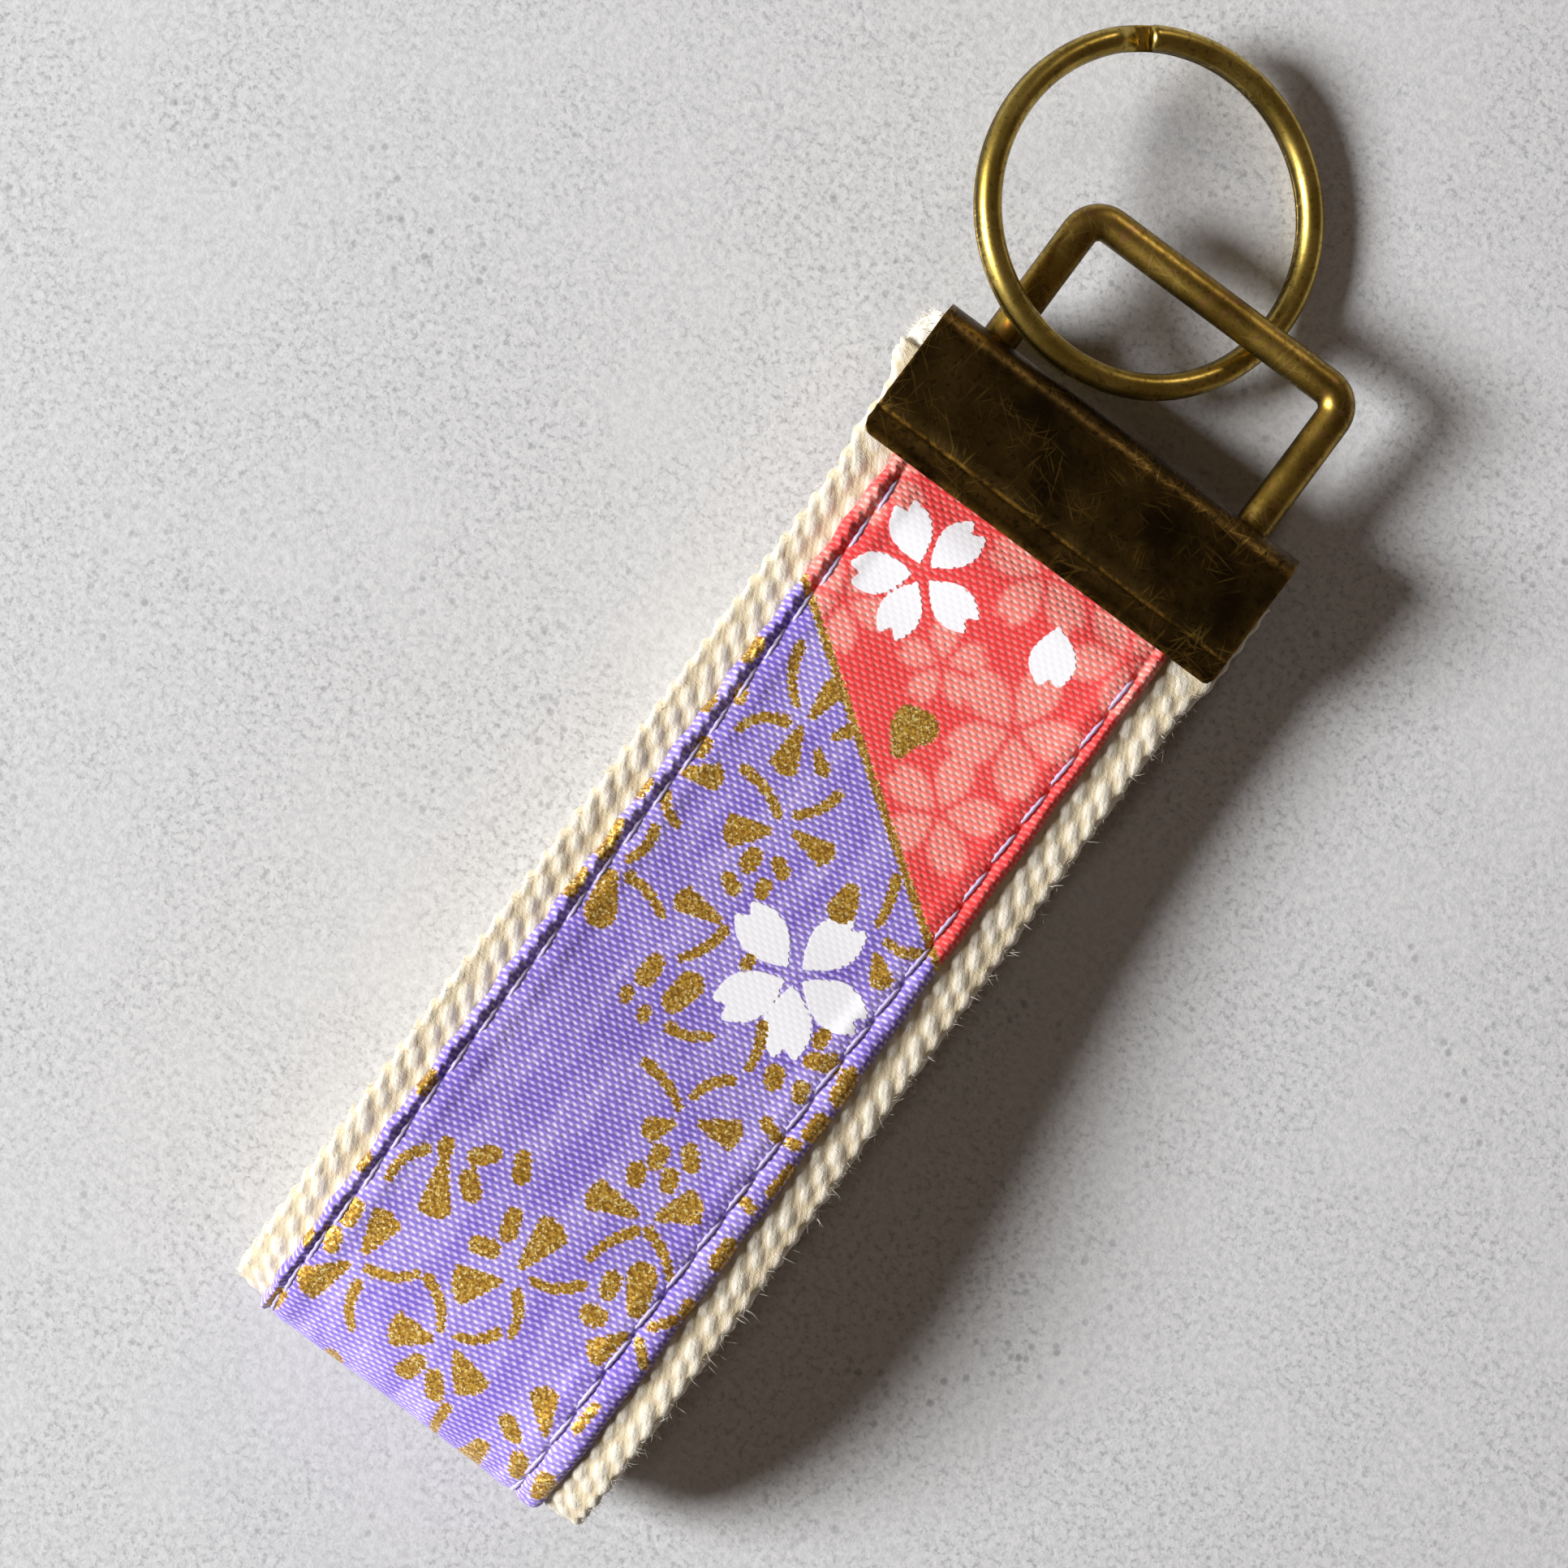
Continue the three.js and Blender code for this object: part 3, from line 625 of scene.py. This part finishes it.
def gold_blossom(x, s, cx, cs, first):
    """Two fans, two arcs and three beads round a centre."""
    def at(radius, degrees):
        a = math.radians(first + degrees)
        return cx + radius * math.cos(a), cs + radius * math.sin(a)

    parts = [fan(x, s, *at(0.7, d), *at(3.8, d), 1.2) for d in (0, 95)]
    parts += [arc(x, s, *at(1.0, d), *at(4.1, d + 8), 0.4) for d in (185, 250)]
    parts += [bead(x, s, *at(2.3, d), *at(3.1, d), 0.5, 0.6) for d in (35, 62, 320)]
    return np.minimum.reduce(parts)


def back_motifs(x, s):
    """Gold blossoms scattered over the fold and the back run, as on the front."""
    field = np.full(x.shape, 3.0)
    spread = np.random.default_rng(11)
    for start in np.arange(ROUTE.nose + 5.5, ROUTE.end - 20, 8.8):
        for cx in (-8.4, 0.3, 8.6):
            cx += spread.uniform(-0.5, 0.5)
            cs = start + spread.uniform(-1.4, 1.4)
            field = np.minimum(field, gold_blossom(x, s, cx, cs, spread.uniform(0, 360)))
    return np.maximum(field, 0.6 - back_blossoms(x, s))


def back_blossoms(x, s):
    """The two white blossoms of the back run."""
    back = ROUTE.end - s
    first = blossom(x, back, -4.0, 34.0, 6.0, fives(20))
    return np.minimum(first, blossom(x, back, 5.0, 6.0, 5.5, fives(40)))


def gold_field(x, s):
    parts = [np.abs(zone_field(x, s)) - 0.22]
    for shape, places in ((fan, FANS), (bead, BEADS), (arc, ARCS)):
        parts += [shape(x, s, *place) for place in places]
    return np.minimum(np.minimum.reduce(parts), back_motifs(x, s))


def white_field(x, s):
    first = blossom(x, s, -5.9, 5.85, 5.3, (-10, 74, 141, 216, -83))
    second = blossom(x, s, 4.15, 35.4, 6.1, (0, 74, 163, -120, -61))
    lone = petal(x, s, 4.2, 2.4, 5.1, 1.75, -63, 0.6)
    return np.minimum.reduce([first, second, lone, back_blossoms(x, s)])


def pale_field(x, s):
    parts = []
    for run in (s, ROUTE.end - s):
        parts += [blossom(x, run, cx, cs, r, fives(d), 0.5, 0.5) for cx, cs, r, d in PALE_BLOSSOMS]
    return np.minimum.reduce(parts)


# ---- Clamp: one folded sheet, crimped near its mouth ----
SHEET, HALF_THICK, SPINE_ROUND, CREASE_FROM_LIP = 0.9, 3.2, 2.4, 2.35
CLAMP_HALF_X = (CLAMP_HIGH[0] - CLAMP_LOW[0]) / 2


def clamp_profile():
    """The sheet's middle line (y, z), from the upper lip round the spine to the lower lip."""
    mid = HALF_THICK - SHEET / 2
    r = SPINE_ROUND - SHEET / 2
    upper = [(0, mid + 0.16), (0.5, mid + 0.2), (1.1, mid + 0.02), (2.1, mid - 0.3), (3.1, mid), (4, mid)]
    upper = [(MOUTH_Y + t, z) for t, z in upper] + [(SPINE_Y - SPINE_ROUND, mid)]
    angles = np.radians(np.linspace(90, 0, 10))[1:]
    bend = [(SPINE_Y - SPINE_ROUND + r * math.cos(a), mid - r + r * math.sin(a)) for a in angles]
    half = np.array(upper + bend)
    line = np.concatenate([half, (half * [1, -1])[::-1]])
    length = length_along(line)
    even = np.linspace(0, length[-1], 190)
    smooth = np.stack([np.interp(even, length, line[:, i]) for i in (0, 1)], -1)
    kernel = np.array([1, 2, 3, 2, 1]) / 9
    for i in (0, 1):
        smooth[2:-2, i] = np.convolve(smooth[:, i], kernel, mode="valid")
    smooth[:, 1] += MID_Z
    return even, smooth


def make_clamp():
    q, line = clamp_profile()
    x = np.linspace(-CLAMP_HALF_X, CLAMP_HALF_X, 150)[None, :]
    radius = np.where(x < 0, 0.95, 0.65)
    into = np.clip(np.abs(x) - (CLAMP_HALF_X - radius), 0, radius)
    trim = radius - np.sqrt(radius**2 - into**2)
    u = np.linspace(0, 1, len(q))[:, None]
    place = trim + u * (q[-1] - 2 * trim)
    y, z = (np.interp(place, q, line[:, i]) for i in (0, 1))
    face = np.sign(z - MID_Z) * smoothstep(np.abs(z - MID_Z), 1.5, 2.5)
    dent = 0.05 * np.sin(x * 0.42 + 1.0) * np.sin(y * 0.5) + 0.03 * np.sin(x * 1.1 + y * 0.9)
    z = z + face * dent
    clamp = new_object("clamp", stacked(x, y, z), grid_faces(*z.shape), {"sheet": stacked(x, place, 0.0)})
    solid = clamp.modifiers.new("sheet", "SOLIDIFY")
    solid.thickness, solid.offset, solid.use_even_offset = SHEET * MM, 0, True
    rim = clamp.modifiers.new("rim", "BEVEL")
    rim.width, rim.segments, rim.limit_method, rim.angle_limit = 0.16 * MM, 3, "ANGLE", math.radians(50)
    apply_modifiers(clamp)
    for side in (-1, 1):
        cut = clamp.modifiers.new("slot", "BOOLEAN")
        cut.operation, cut.solver, cut.object = "DIFFERENCE", "EXACT", leg_slot(side)
    apply_modifiers(clamp)
    for piece in [o for o in bpy.data.objects if o.name.startswith("slot_cutter")]:
        bpy.data.objects.remove(piece)
    return clamp


def leg_slot(side):
    """A cutter of the slot that one leg of the bail passes through."""
    leg_x = (BAIL_HIGH[0] - BAIL_LOW[0]) / 2 - BAIL_RADIUS
    radius, half = 1.62, 0.5
    ring = []
    for a in np.radians(np.arange(0, 360, 10)):
        shift = half * np.sign(round(math.sin(a), 3))
        ring.append((side * leg_x + radius * math.cos(a), MID_Z + radius * math.sin(a) + shift))
    points = [(x, y, z) for y in (SPINE_Y - 2.2, SPINE_Y + 2) for x, z in ring]
    return new_object(f"slot_cutter_{side + 1}", points, capped_faces(2, len(ring)))


# ---- Wires ----
def rounded_polyline(corners, radii, step=0.25):
    """A polyline in the plane with its corners rounded to arcs."""
    out = [np.array(corners[0], float)]
    for i in range(1, len(corners) - 1):
        a, b, c = (np.array(p, float) for p in corners[i - 1 : i + 2])
        u, v = (a - b) / np.linalg.norm(a - b), (c - b) / np.linalg.norm(c - b)
        r = radii[i]
        centre = b + (u + v) * r
        for t in np.linspace(0, math.pi / 2, max(4, int(r * 1.6 / step))):
            out.append(centre - v * r * math.cos(t) - u * r * math.sin(t))
    out.append(np.array(corners[-1], float))
    points = np.array(out)
    length = length_along(points)
    even = np.linspace(0, length[-1], int(length[-1] / step))
    return np.stack([np.interp(even, length, points[:, i]) for i in (0, 1)], -1)


def sweep(name, centre, side, up, ring, turn):
    """A wire's section carried along a line, its ends drawn in a little.

    ring is the section's (side, up) offsets at the angles turn, the same all along or row by row."""
    rows = len(centre)
    shrink = np.ones(rows)
    shrink[0] = shrink[-1] = 0.82
    offsets = side[:, None] * ring[..., :1] + up[:, None] * ring[..., 1:]
    points = centre[:, None] + offsets * shrink[:, None, None]
    coords = stacked(length_along(centre)[:, None], turn, 0.0)
    return new_object(name, points, capped_faces(rows, len(turn)), {"wire": coords})


def make_bail():
    leg, bar = BAIL_HIGH[0] - BAIL_RADIUS, BAIL_HIGH[1] - BAIL_RADIUS
    corners = [(0.15, RAIL_Y), (leg, RAIL_Y), (leg, bar), (-leg, bar), (-leg, RAIL_Y), (-0.15, RAIL_Y)]
    line = rounded_polyline(corners, [0, 1.5, 1.8, 1.8, 1.5, 0])
    centre = np.column_stack([line, np.full(len(line), MID_Z)])
    tangent = unit(np.gradient(centre, axis=0))
    up = np.tile([0.0, 0, 1], (len(centre), 1))
    side = np.cross(tangent, up)
    turn = np.linspace(0, 2 * math.pi, 28, endpoint=False)
    circle = stacked(np.cos(turn), np.sin(turn)) * BAIL_RADIUS
    return sweep("bail", centre, side, up, circle, turn)


def half_round(a):
    """A half-round wire's section 2 mm wide and 1.2 mm high, its crown up."""
    c, s = np.cos(a), np.sin(a)
    crown = s > 0
    wide = np.where(crown, c, np.sign(c) * np.sqrt(np.abs(c)))
    return stacked(wide, np.where(crown, 1.1 * s, -0.1 * np.sqrt(np.abs(s))) - 0.5)


RING_RADIUS, TURN_PITCH = 13.0, 1.24


def make_ring():
    """Two turns of flat wire with a crank between them, leaning on the bail as in the frame."""
    # Degrees round the ring: the lower turn's end, the crank's top and foot, and the upper turn's end.
    lower, crest, crank, upper = 164.5, 141.0, 131.0, 128.5
    angle = np.arange(lower, upper + 720, 1.2)
    climb = smoothstep(angle, crank + 360, crest + 360)
    turn = np.radians(angle)
    circle = RING_RADIUS * np.cos(turn), RING_RADIUS * np.sin(turn)
    centre = np.column_stack([*circle, TURN_PITCH * (climb - 0.5)])
    tangent = unit(np.gradient(centre, axis=0))
    side = unit(np.cross(tangent, [0.0, 0, 1]))
    up = np.cross(side, tangent)
    # The turns' flat faces lie together, and the crank turns the section over.
    a = np.linspace(0, 2 * math.pi, 32, endpoint=False)
    share = climb[:, None, None]
    section = half_round(a) * share + half_round(-a) * [1, -1] * (1 - share)
    ring = sweep("ring", centre, side, up, section, a)
    mount = MOUNTS["key_ring"]
    spin = Vector((0, 0, 1)).rotation_difference(Vector(mount["axis"])).to_matrix().to_4x4()
    ring.data.transform(Matrix.Translation(Vector(mount["pos_m"])) @ spin)
    return ring


# ---- Materials ----
class Shader:
    """A material's node tree, with short calls to add nodes."""

    def __init__(self, name, **sockets):
        self.material = bpy.data.materials.new(name)
        self.material.use_nodes = True
        self.tree = self.material.node_tree
        self.surface = self.tree.nodes["Principled BSDF"]
        for key, value in sockets.items():
            self.surface.inputs[key.replace("_", " ")].default_value = value

    def set(self, socket, value):
        self.tree.links.new(value, self.surface.inputs[socket])

    def node(self, kind, output=0, settings=None, **inputs):
        """A new node's output. Its inputs are given by name, or by number as i0, i1 and so on."""
        made = self.tree.nodes.new("ShaderNode" + kind)
        for key, value in (settings or {}).items():
            setattr(made, key, value)
        for key, value in inputs.items():
            socket = made.inputs[int(key[1:]) if key[1:].isdigit() else key]
            if isinstance(value, bpy.types.NodeSocket):
                self.tree.links.new(value, socket)
            else:
                socket.default_value = value
        return made.outputs[output]

    def attribute(self, name, output="Vector"):
        return self.node("Attribute", output, {"attribute_name": name})

    def math(self, operation, a, b=0.0, c=0.0):
        return self.node("Math", 0, {"operation": operation}, i0=a, i1=b, i2=c)

    def times(self, a, b, plus=None):
        return self.math("MULTIPLY", a, b) if plus is None else self.math("MULTIPLY_ADD", a, b, plus)

    def inverse(self, a):
        return self.math("SUBTRACT", 1.0, a)

    def mix(self, factor, a, b):
        return self.node("Mix", 2, {"data_type": "RGBA"}, i0=factor, i6=a, i7=b)

    def step(self, value, low, high):
        """value mapped from low..high to 0..1 and held there."""
        return self.node("MapRange", 0, {"interpolation_type": "SMOOTHSTEP"}, i0=value, i1=low, i2=high)

    def noise(self, vector, scale, detail=2.0, roughness=0.5):
        return self.node("TexNoise", 0, None, Vector=vector, Scale=scale, Detail=detail, Roughness=roughness)

    def wave(self, vector, fx, fs, phase):
        """A cosine over the cloth, fx and fs its turns to a millimetre across and along, 0 to 1."""
        turns = (fx * 2 * math.pi, fs * 2 * math.pi, 0)
        dot = self.node("VectorMath", 1, {"operation": "DOT_PRODUCT"}, i0=vector, i1=turns)
        cosine = self.math("COSINE", self.math("ADD", dot, phase))
        return self.times(cosine, 0.5, 0.5)

    def bump(self, height, strength, distance_mm):
        distance = distance_mm * MM
        self.set("Normal", self.node("Bump", 0, None, Height=height, Strength=strength, Distance=distance))


def rgb(r, g, b):
    """A colour given in 0 to 255 display values."""
    def linear(v):
        v /= 255
        return v / 12.92 if v <= 0.04045 else ((v + 0.055) / 1.055) ** 2.4
    return (linear(r), linear(g), linear(b), 1.0)


def webbing_material():
    m = Shader("webbing cotton", Roughness=0.75, Sheen_Weight=0.3, Sheen_Roughness=0.4)
    web = m.attribute("web")
    relief = m.node("SeparateXYZ", 2, None, Vector=web)
    ply = m.wave(web, 2.3, -1.22, m.times(m.noise(web, 1.3), 2.4))
    hairs = m.noise(web, 9.0, 3.0, 0.7)
    # Painted shade: the gaps between the floats are painted a darker tan, and the plies' grooves a little
    # darker.
    crevice_shaded = m.mix(m.step(relief, 0.42, 0.8), rgb(218, 201, 168), rgb(234, 226, 211))
    groove_shaded = m.mix(m.times(m.inverse(ply), 0.1), crevice_shaded, rgb(226, 210, 176))
    m.set("Base Color", m.mix(m.times(hairs, 0.25), groove_shaded, rgb(228, 214, 184)))
    fluff = m.times(m.noise(web, 3.6, 3.0, 0.65), 0.9)
    m.bump(m.math("ADD", m.times(ply, 0.12), m.times(hairs, 0.6, fluff)), 0.9, 0.1)
    return m.material


def print_material():
    m = Shader("printed cotton", Sheen_Weight=0.15, Sheen_Roughness=0.5)
    cloth = m.attribute("cloth")
    wander = m.times(m.noise(cloth, 0.35), 3.0)
    rib = m.wave(cloth, 0.613, 2.07, wander)
    dash = m.wave(cloth, -1.25, 1.35, m.times(m.noise(cloth, 1.1), 2.0))
    slub = m.noise(cloth, 3.2, 3.0, 0.7)
    weave = m.times(rib, m.times(dash, 0.75, 0.38))
    weave = m.times(m.math("SUBTRACT", slub, 0.5), 0.8, weave)
    gold, white, pale, zone = (m.attribute(k, "Fac") for k in ("gold", "white", "pale", "zone"))
    ragged = m.times(m.math("SUBTRACT", weave, 0.5), 0.1)

    def mask(field, soft=0.05, out=0.0, wear=1.0):
        worn = m.times(ragged, wear, field)
        return m.inverse(m.step(worn, out - soft, out + soft))

    coral = m.mix(mask(pale, 0.3), rgb(245, 104, 102), rgb(255, 178, 168))
    coral = m.mix(m.times(m.step(m.noise(cloth, 0.35), 0.4, 0.75), 0.35), coral, rgb(250, 142, 134))
    broad = m.noise(m.node("Mapping", 0, None, Vector=cloth, Scale=(0.35, 0.1, 1.0)), 1.0, 3.0, 0.6)
    purple = m.mix(m.step(broad, 0.35, 0.65), rgb(162, 143, 217), rgb(190, 177, 233))
    slanted = m.node("Mapping", 0, None, Vector=cloth, Rotation=(0, 0, 0.9), Scale=(2.6, 0.3, 1.0))
    streak = m.noise(slanted, 1.0, 2.0)
    streak = m.times(m.step(streak, 0.52, 0.7), m.step(broad, 0.45, 0.6))
    purple = m.mix(m.times(streak, 0.45), purple, rgb(224, 204, 240))
    area = m.step(zone, -0.05, 0.05)
    ground = m.mix(area, coral, purple)
    white_mask = mask(white)
    ground = m.mix(white_mask, ground, rgb(250, 249, 254))
    # Painted shade and painted highlight of the weave: its gaps are painted dark and its tops light, blended
    # over the cloth's colours.
    weave_gap_shade = m.mix(area, rgb(98, 20, 36), rgb(40, 20, 84))
    weave_top_highlight = m.mix(area, rgb(255, 208, 210), rgb(255, 250, 255))
    weave_light_and_shade = m.mix(m.step(weave, 0.1, 0.85), weave_gap_shade, weave_top_highlight)
    painted = m.math("SUBTRACT", 0.9, m.times(white_mask, 0.75))
    soft_light = {"data_type": "RGBA", "blend_type": "SOFT_LIGHT"}
    ground = m.node("Mix", 2, soft_light, i0=painted, i6=ground, i7=weave_light_and_shade)
    flake = m.node("TexVoronoi", "Color", {"feature": "F1"}, Vector=cloth, Scale=6.5)
    spark = m.node("SeparateXYZ", 0, None, Vector=flake)
    # The gold flakes differ in tone at random; the gold is painted lighter on the weave's tops as a
    # highlight, and the brightest flakes are painted glints.
    glitter_and_glints = m.mix(m.step(spark, 0.2, 0.75), rgb(148, 102, 24), rgb(212, 162, 54))
    glitter_and_glints = m.mix(m.times(m.step(weave, 0.25, 0.85), 0.45), glitter_and_glints, rgb(234, 186, 78))
    glitter_and_glints = m.mix(m.step(spark, 0.8, 0.95), glitter_and_glints, rgb(252, 230, 160))
    gold_mask = mask(gold, 0.06, 0.06, 2.4)
    m.set("Base Color", m.mix(gold_mask, ground, glitter_and_glints))
    m.set("Metallic", m.times(gold_mask, 0.5))
    m.set("Roughness", m.math("SUBTRACT", 0.8, m.times(gold_mask, 0.34)))
    grains = m.times(m.times(spark, gold_mask), 0.6)
    pits = m.times(m.step(m.attribute("hole", "Fac"), 0.05, 0.35), 0.8)
    ink = m.math("MAXIMUM", m.times(white_mask, 0.85), m.times(gold_mask, 0.6))
    cover = m.inverse(ink)
    m.bump(m.math("ADD", m.math("ADD", m.times(weave, cover), grains), pits), 0.75, 0.09)
    return m.material


def thread_material():
    m = Shader("sewing thread", Roughness=0.42, Sheen_Weight=0.2)
    place = m.node("TexCoord", "Object")
    fibre = m.noise(place, 5200.0, 2.0)
    m.set("Base Color", m.mix(fibre, rgb(170, 158, 206), rgb(216, 206, 234)))
    m.bump(fibre, 0.4, 0.03)
    return m.material


def fuzz_material():
    m = Shader("loose fibre", Roughness=0.8, Sheen_Weight=0.4)
    place = m.node("TexCoord", "Object")
    m.set("Base Color", m.mix(m.noise(place, 900.0), rgb(234, 224, 202), rgb(250, 246, 238)))
    return m.material


def scratches(m, place):
    """Short straight hair scratches lying every way, in patches, 0 to 1."""
    total = 0.0
    for turn in range(6):
        angle = 0.35 + turn * math.pi / 6
        ways = {"Location": (0.03 * turn, 0.01, 0), "Rotation": (0, 0, angle), "Scale": (1, 20, 6)}
        turned = m.node("Mapping", 0, {"vector_type": "TEXTURE"}, Vector=place, **ways)
        line = m.step(m.noise(turned, 5600.0 - 400.0 * turn, 1.0), 0.64, 0.72)
        total = m.math("MAXIMUM", total, line)
    return m.times(total, m.step(m.noise(place, 230.0, 2.0), 0.42, 0.6))


def clamp_material():
    m = Shader("dark antique bronze", Metallic=1.0)
    place = m.node("TexCoord", "Object")
    sheet = m.attribute("sheet")
    q = m.node("SeparateXYZ", 1, None, Vector=sheet)
    x = m.math("ABSOLUTE", m.node("SeparateXYZ", 0, None, Vector=sheet))
    from_lip = m.math("MINIMUM", q, m.math("SUBTRACT", clamp_profile()[0][-1], q))
    from_crease = m.math("ABSOLUTE", m.math("SUBTRACT", from_lip, CREASE_FROM_LIP))
    # A band along the crease's ridge, used for a painted highlight.
    crease = m.inverse(m.step(from_crease, 0.05, 0.36))
    lip = m.inverse(m.step(from_lip, 0.1, 0.7))
    side = m.step(x, CLAMP_HALF_X - 0.3, CLAMP_HALF_X - 0.05)
    cloud = m.noise(place, 260.0, 4.0, 0.6)
    fine = m.noise(place, 1800.0, 3.0, 0.65)
    # Brass in patches over these bands: a painted highlight on the crease's ridge, and worn plating with a
    # painted highlight on the lip and the sheet's ends.
    worn_and_highlit = m.math("MAXIMUM", m.times(crease, 0.8), m.times(m.math("MAXIMUM", lip, side), 0.5))
    patches = m.step(m.times(fine, 0.7, m.times(cloud, 0.6)), 0.5, 0.85)
    hair = m.times(scratches(m, place), 0.38)
    base = m.mix(m.step(cloud, 0.3, 0.7), rgb(54, 41, 20), rgb(96, 74, 36))
    base = m.mix(m.step(fine, 0.45, 0.75), base, rgb(38, 28, 13))
    base = m.mix(hair, base, rgb(170, 136, 66))
    m.set("Base Color", m.mix(m.times(worn_and_highlit, patches), base, rgb(186, 138, 56)))
    m.set("Roughness", m.times(fine, 0.3, 0.24))
    m.bump(m.math("SUBTRACT", m.times(fine, 0.35, cloud), m.times(hair, 0.3)), 0.25, 0.08)
    return m.material


def wire_material(name, light, dark, rough, copper):
    m = Shader(name, Metallic=1.0)
    place = m.node("TexCoord", "Object")
    cloud = m.noise(place, 240.0, 3.0, 0.55)
    fine = m.noise(place, 2200.0, 3.0, 0.6)
    base = m.mix(m.step(cloud, 0.35, 0.65), dark, light)
    base = m.mix(m.times(m.step(fine, 0.5, 0.7), 0.6), base, rgb(74, 56, 22))
    height = m.math("ABSOLUTE", m.math("SINE", m.node("SeparateXYZ", 1, None, Vector=m.attribute("wire"))))
    bare = m.times(m.step(m.noise(place, 1300.0, 3.0, 0.6), 0.54, 0.64), m.step(height, 0.6, 0.95))
    base = m.mix(m.times(bare, copper), base, rgb(176, 122, 86))
    # The wire's sides, which face sideways, are darkened in cloudy patches: painted shade, with antique
    # patina.
    patina_and_side_shade = m.inverse(m.step(m.times(cloud, 0.5, height), 0.35, 0.95))
    base = m.mix(m.times(patina_and_side_shade, 0.85), base, rgb(48, 35, 13))
    m.set("Base Color", m.mix(m.times(scratches(m, place), 0.35), base, rgb(226, 196, 112)))
    m.set("Roughness", m.times(fine, 0.2, rough))
    m.bump(m.times(fine, 0.3, m.times(cloud, 0.5)), 0.2, 0.06)
    return m.material


def floor_material():
    m = Shader("pale plaster", Roughness=0.9)
    place = m.node("TexCoord", "Object")
    speck = m.noise(place, 1500.0, 3.0, 0.8)
    grain = m.noise(place, 420.0, 4.0, 0.75)
    dots = m.node("TexVoronoi", 0, {"feature": "F1"}, Vector=place, Scale=700.0)
    pitted = m.step(m.noise(place, 45.0, 3.0, 0.6), 0.5, 0.68)
    dots = m.times(m.inverse(m.step(dots, 0.1, 0.3)), pitted)
    base = m.mix(m.step(speck, 0.3, 0.65), rgb(196, 196, 198), rgb(214, 214, 215))
    fleck = m.step(m.noise(place, 1900.0, 3.0, 0.7), 0.48, 0.68)
    fleck = m.times(fleck, m.step(m.noise(place, 60.0, 3.0, 0.7), 0.3, 0.6))
    base = m.mix(m.times(fleck, 0.6), base, rgb(140, 140, 142))
    m.set("Base Color", m.mix(m.times(dots, 0.55), base, rgb(130, 130, 132)))
    m.bump(m.math("SUBTRACT", m.times(speck, 0.5, grain), m.times(dots, 0.4)), 0.35, 0.16)
    return m.material


# ---- Light, floor and camera ----
# The camera looks straight down on VIEW_CENTRE, turned by ROLL, and sees VIEW_WIDTH across.
ROLL = math.radians(36.7)
VIEW_CENTRE = (-4.8, MOUTH_Y - 24.4, 8.0)
VIEW_WIDTH = 115.7
LENS, SENSOR = 85.0, 36.0


def make_camera():
    data = bpy.data.cameras.new("camera")
    data.lens, data.sensor_width, data.clip_start = LENS, SENSOR, 0.01
    camera = bpy.data.objects.new("camera", data)
    bpy.context.scene.collection.objects.link(camera)
    height = VIEW_CENTRE[2] + VIEW_WIDTH * LENS / SENSOR
    camera.location = Vector((VIEW_CENTRE[0], VIEW_CENTRE[1], height)) * MM
    camera.rotation_euler = (0, 0, ROLL)
    bpy.context.scene.camera = camera


def area_light(name, azimuth, elevation, distance, size, watts, colour):
    """azimuth 0 is the picture's right and 90 its top."""
    data = bpy.data.lights.new(name, "AREA")
    data.shape, data.size, data.energy, data.color = "DISK", size, watts, colour
    light = bpy.data.objects.new(name, data)
    bpy.context.scene.collection.objects.link(light)
    a, e = math.radians(azimuth) + ROLL, math.radians(elevation)
    way = Vector((math.cos(a) * math.cos(e), math.sin(a) * math.cos(e), math.sin(e)))
    target = Vector(VIEW_CENTRE) * MM
    light.location = target + way * distance
    light.rotation_euler = way.to_track_quat("Z", "Y").to_euler()


def make_stage():
    size = 900
    corners = [(-size, -size, 0), (size, -size, 0), (size, size, 0), (-size, size, 0)]
    floor = new_object("floor", corners, [[0, 1, 2, 3]])
    floor.data.materials.append(floor_material())
    world = bpy.data.worlds.new("world")
    world.use_nodes = True
    background = world.node_tree.nodes["Background"]
    background.inputs["Color"].default_value = (1.0, 0.72, 0.53, 1.0)
    background.inputs["Strength"].default_value = 0.07
    bpy.context.scene.world = world
    area_light("far window", 57, 30, 0.7, 0.08, 0.38, (1.0, 0.9, 0.8))
    area_light("window", 177, 30, 1.3, 0.52, 32.5, (0.985, 0.995, 1.0))
    bpy.context.scene.view_settings.view_transform = "Standard"


# ---- The key fob ----
def dress(piece, material):
    piece.data.materials.clear()
    piece.data.materials.append(material)


def cross_flex(piece):
    """Makes the piece's place part of its mesh."""
    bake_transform(piece)


def build():
    make_camera()
    make_stage()
    thread = thread_material()
    webbing = make_webbing()
    dress(webbing, webbing_material())
    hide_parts("webbing_loop", "webbing_end_front", "webbing_end_back")
    cross_flex(webbing)
    fuzz = make_fuzz()
    dress(fuzz, fuzz_material())
    cross_flex(fuzz)
    fields = {"gold": gold_field, "white": white_field, "pale": pale_field, "zone": zone_field}
    strip = make_print(fields)
    dress(strip, print_material())
    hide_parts("print_loop", "print_end_front", "print_end_back")
    cross_flex(strip)
    for side_name, side in (("left", -1), ("right", 1)):
        for kind, outside in (("needle", True), ("bobbin", False)):
            row = thread_row(f"{kind}_stitches_{side_name}", side, outside)
            dress(row, thread)
            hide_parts(f"{kind}_thread_{side_name}")
            cross_flex(row)
    clamp = make_clamp()
    dress(clamp, clamp_material())
    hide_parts("clamp_shell")
    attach(clamp, "clamp")
    bail = make_bail()
    brass = wire_material("worn bail brass", rgb(184, 152, 70), rgb(130, 104, 43), 0.3, 0.6)
    dress(bail, brass)
    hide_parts("bail_wire")
    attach(bail, "bail")
    ring = make_ring()
    brass = wire_material("worn ring brass", rgb(218, 190, 100), rgb(182, 154, 70), 0.25, 0.15)
    dress(ring, brass)
    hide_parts("split_ring")
    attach(ring, "ring")


build()
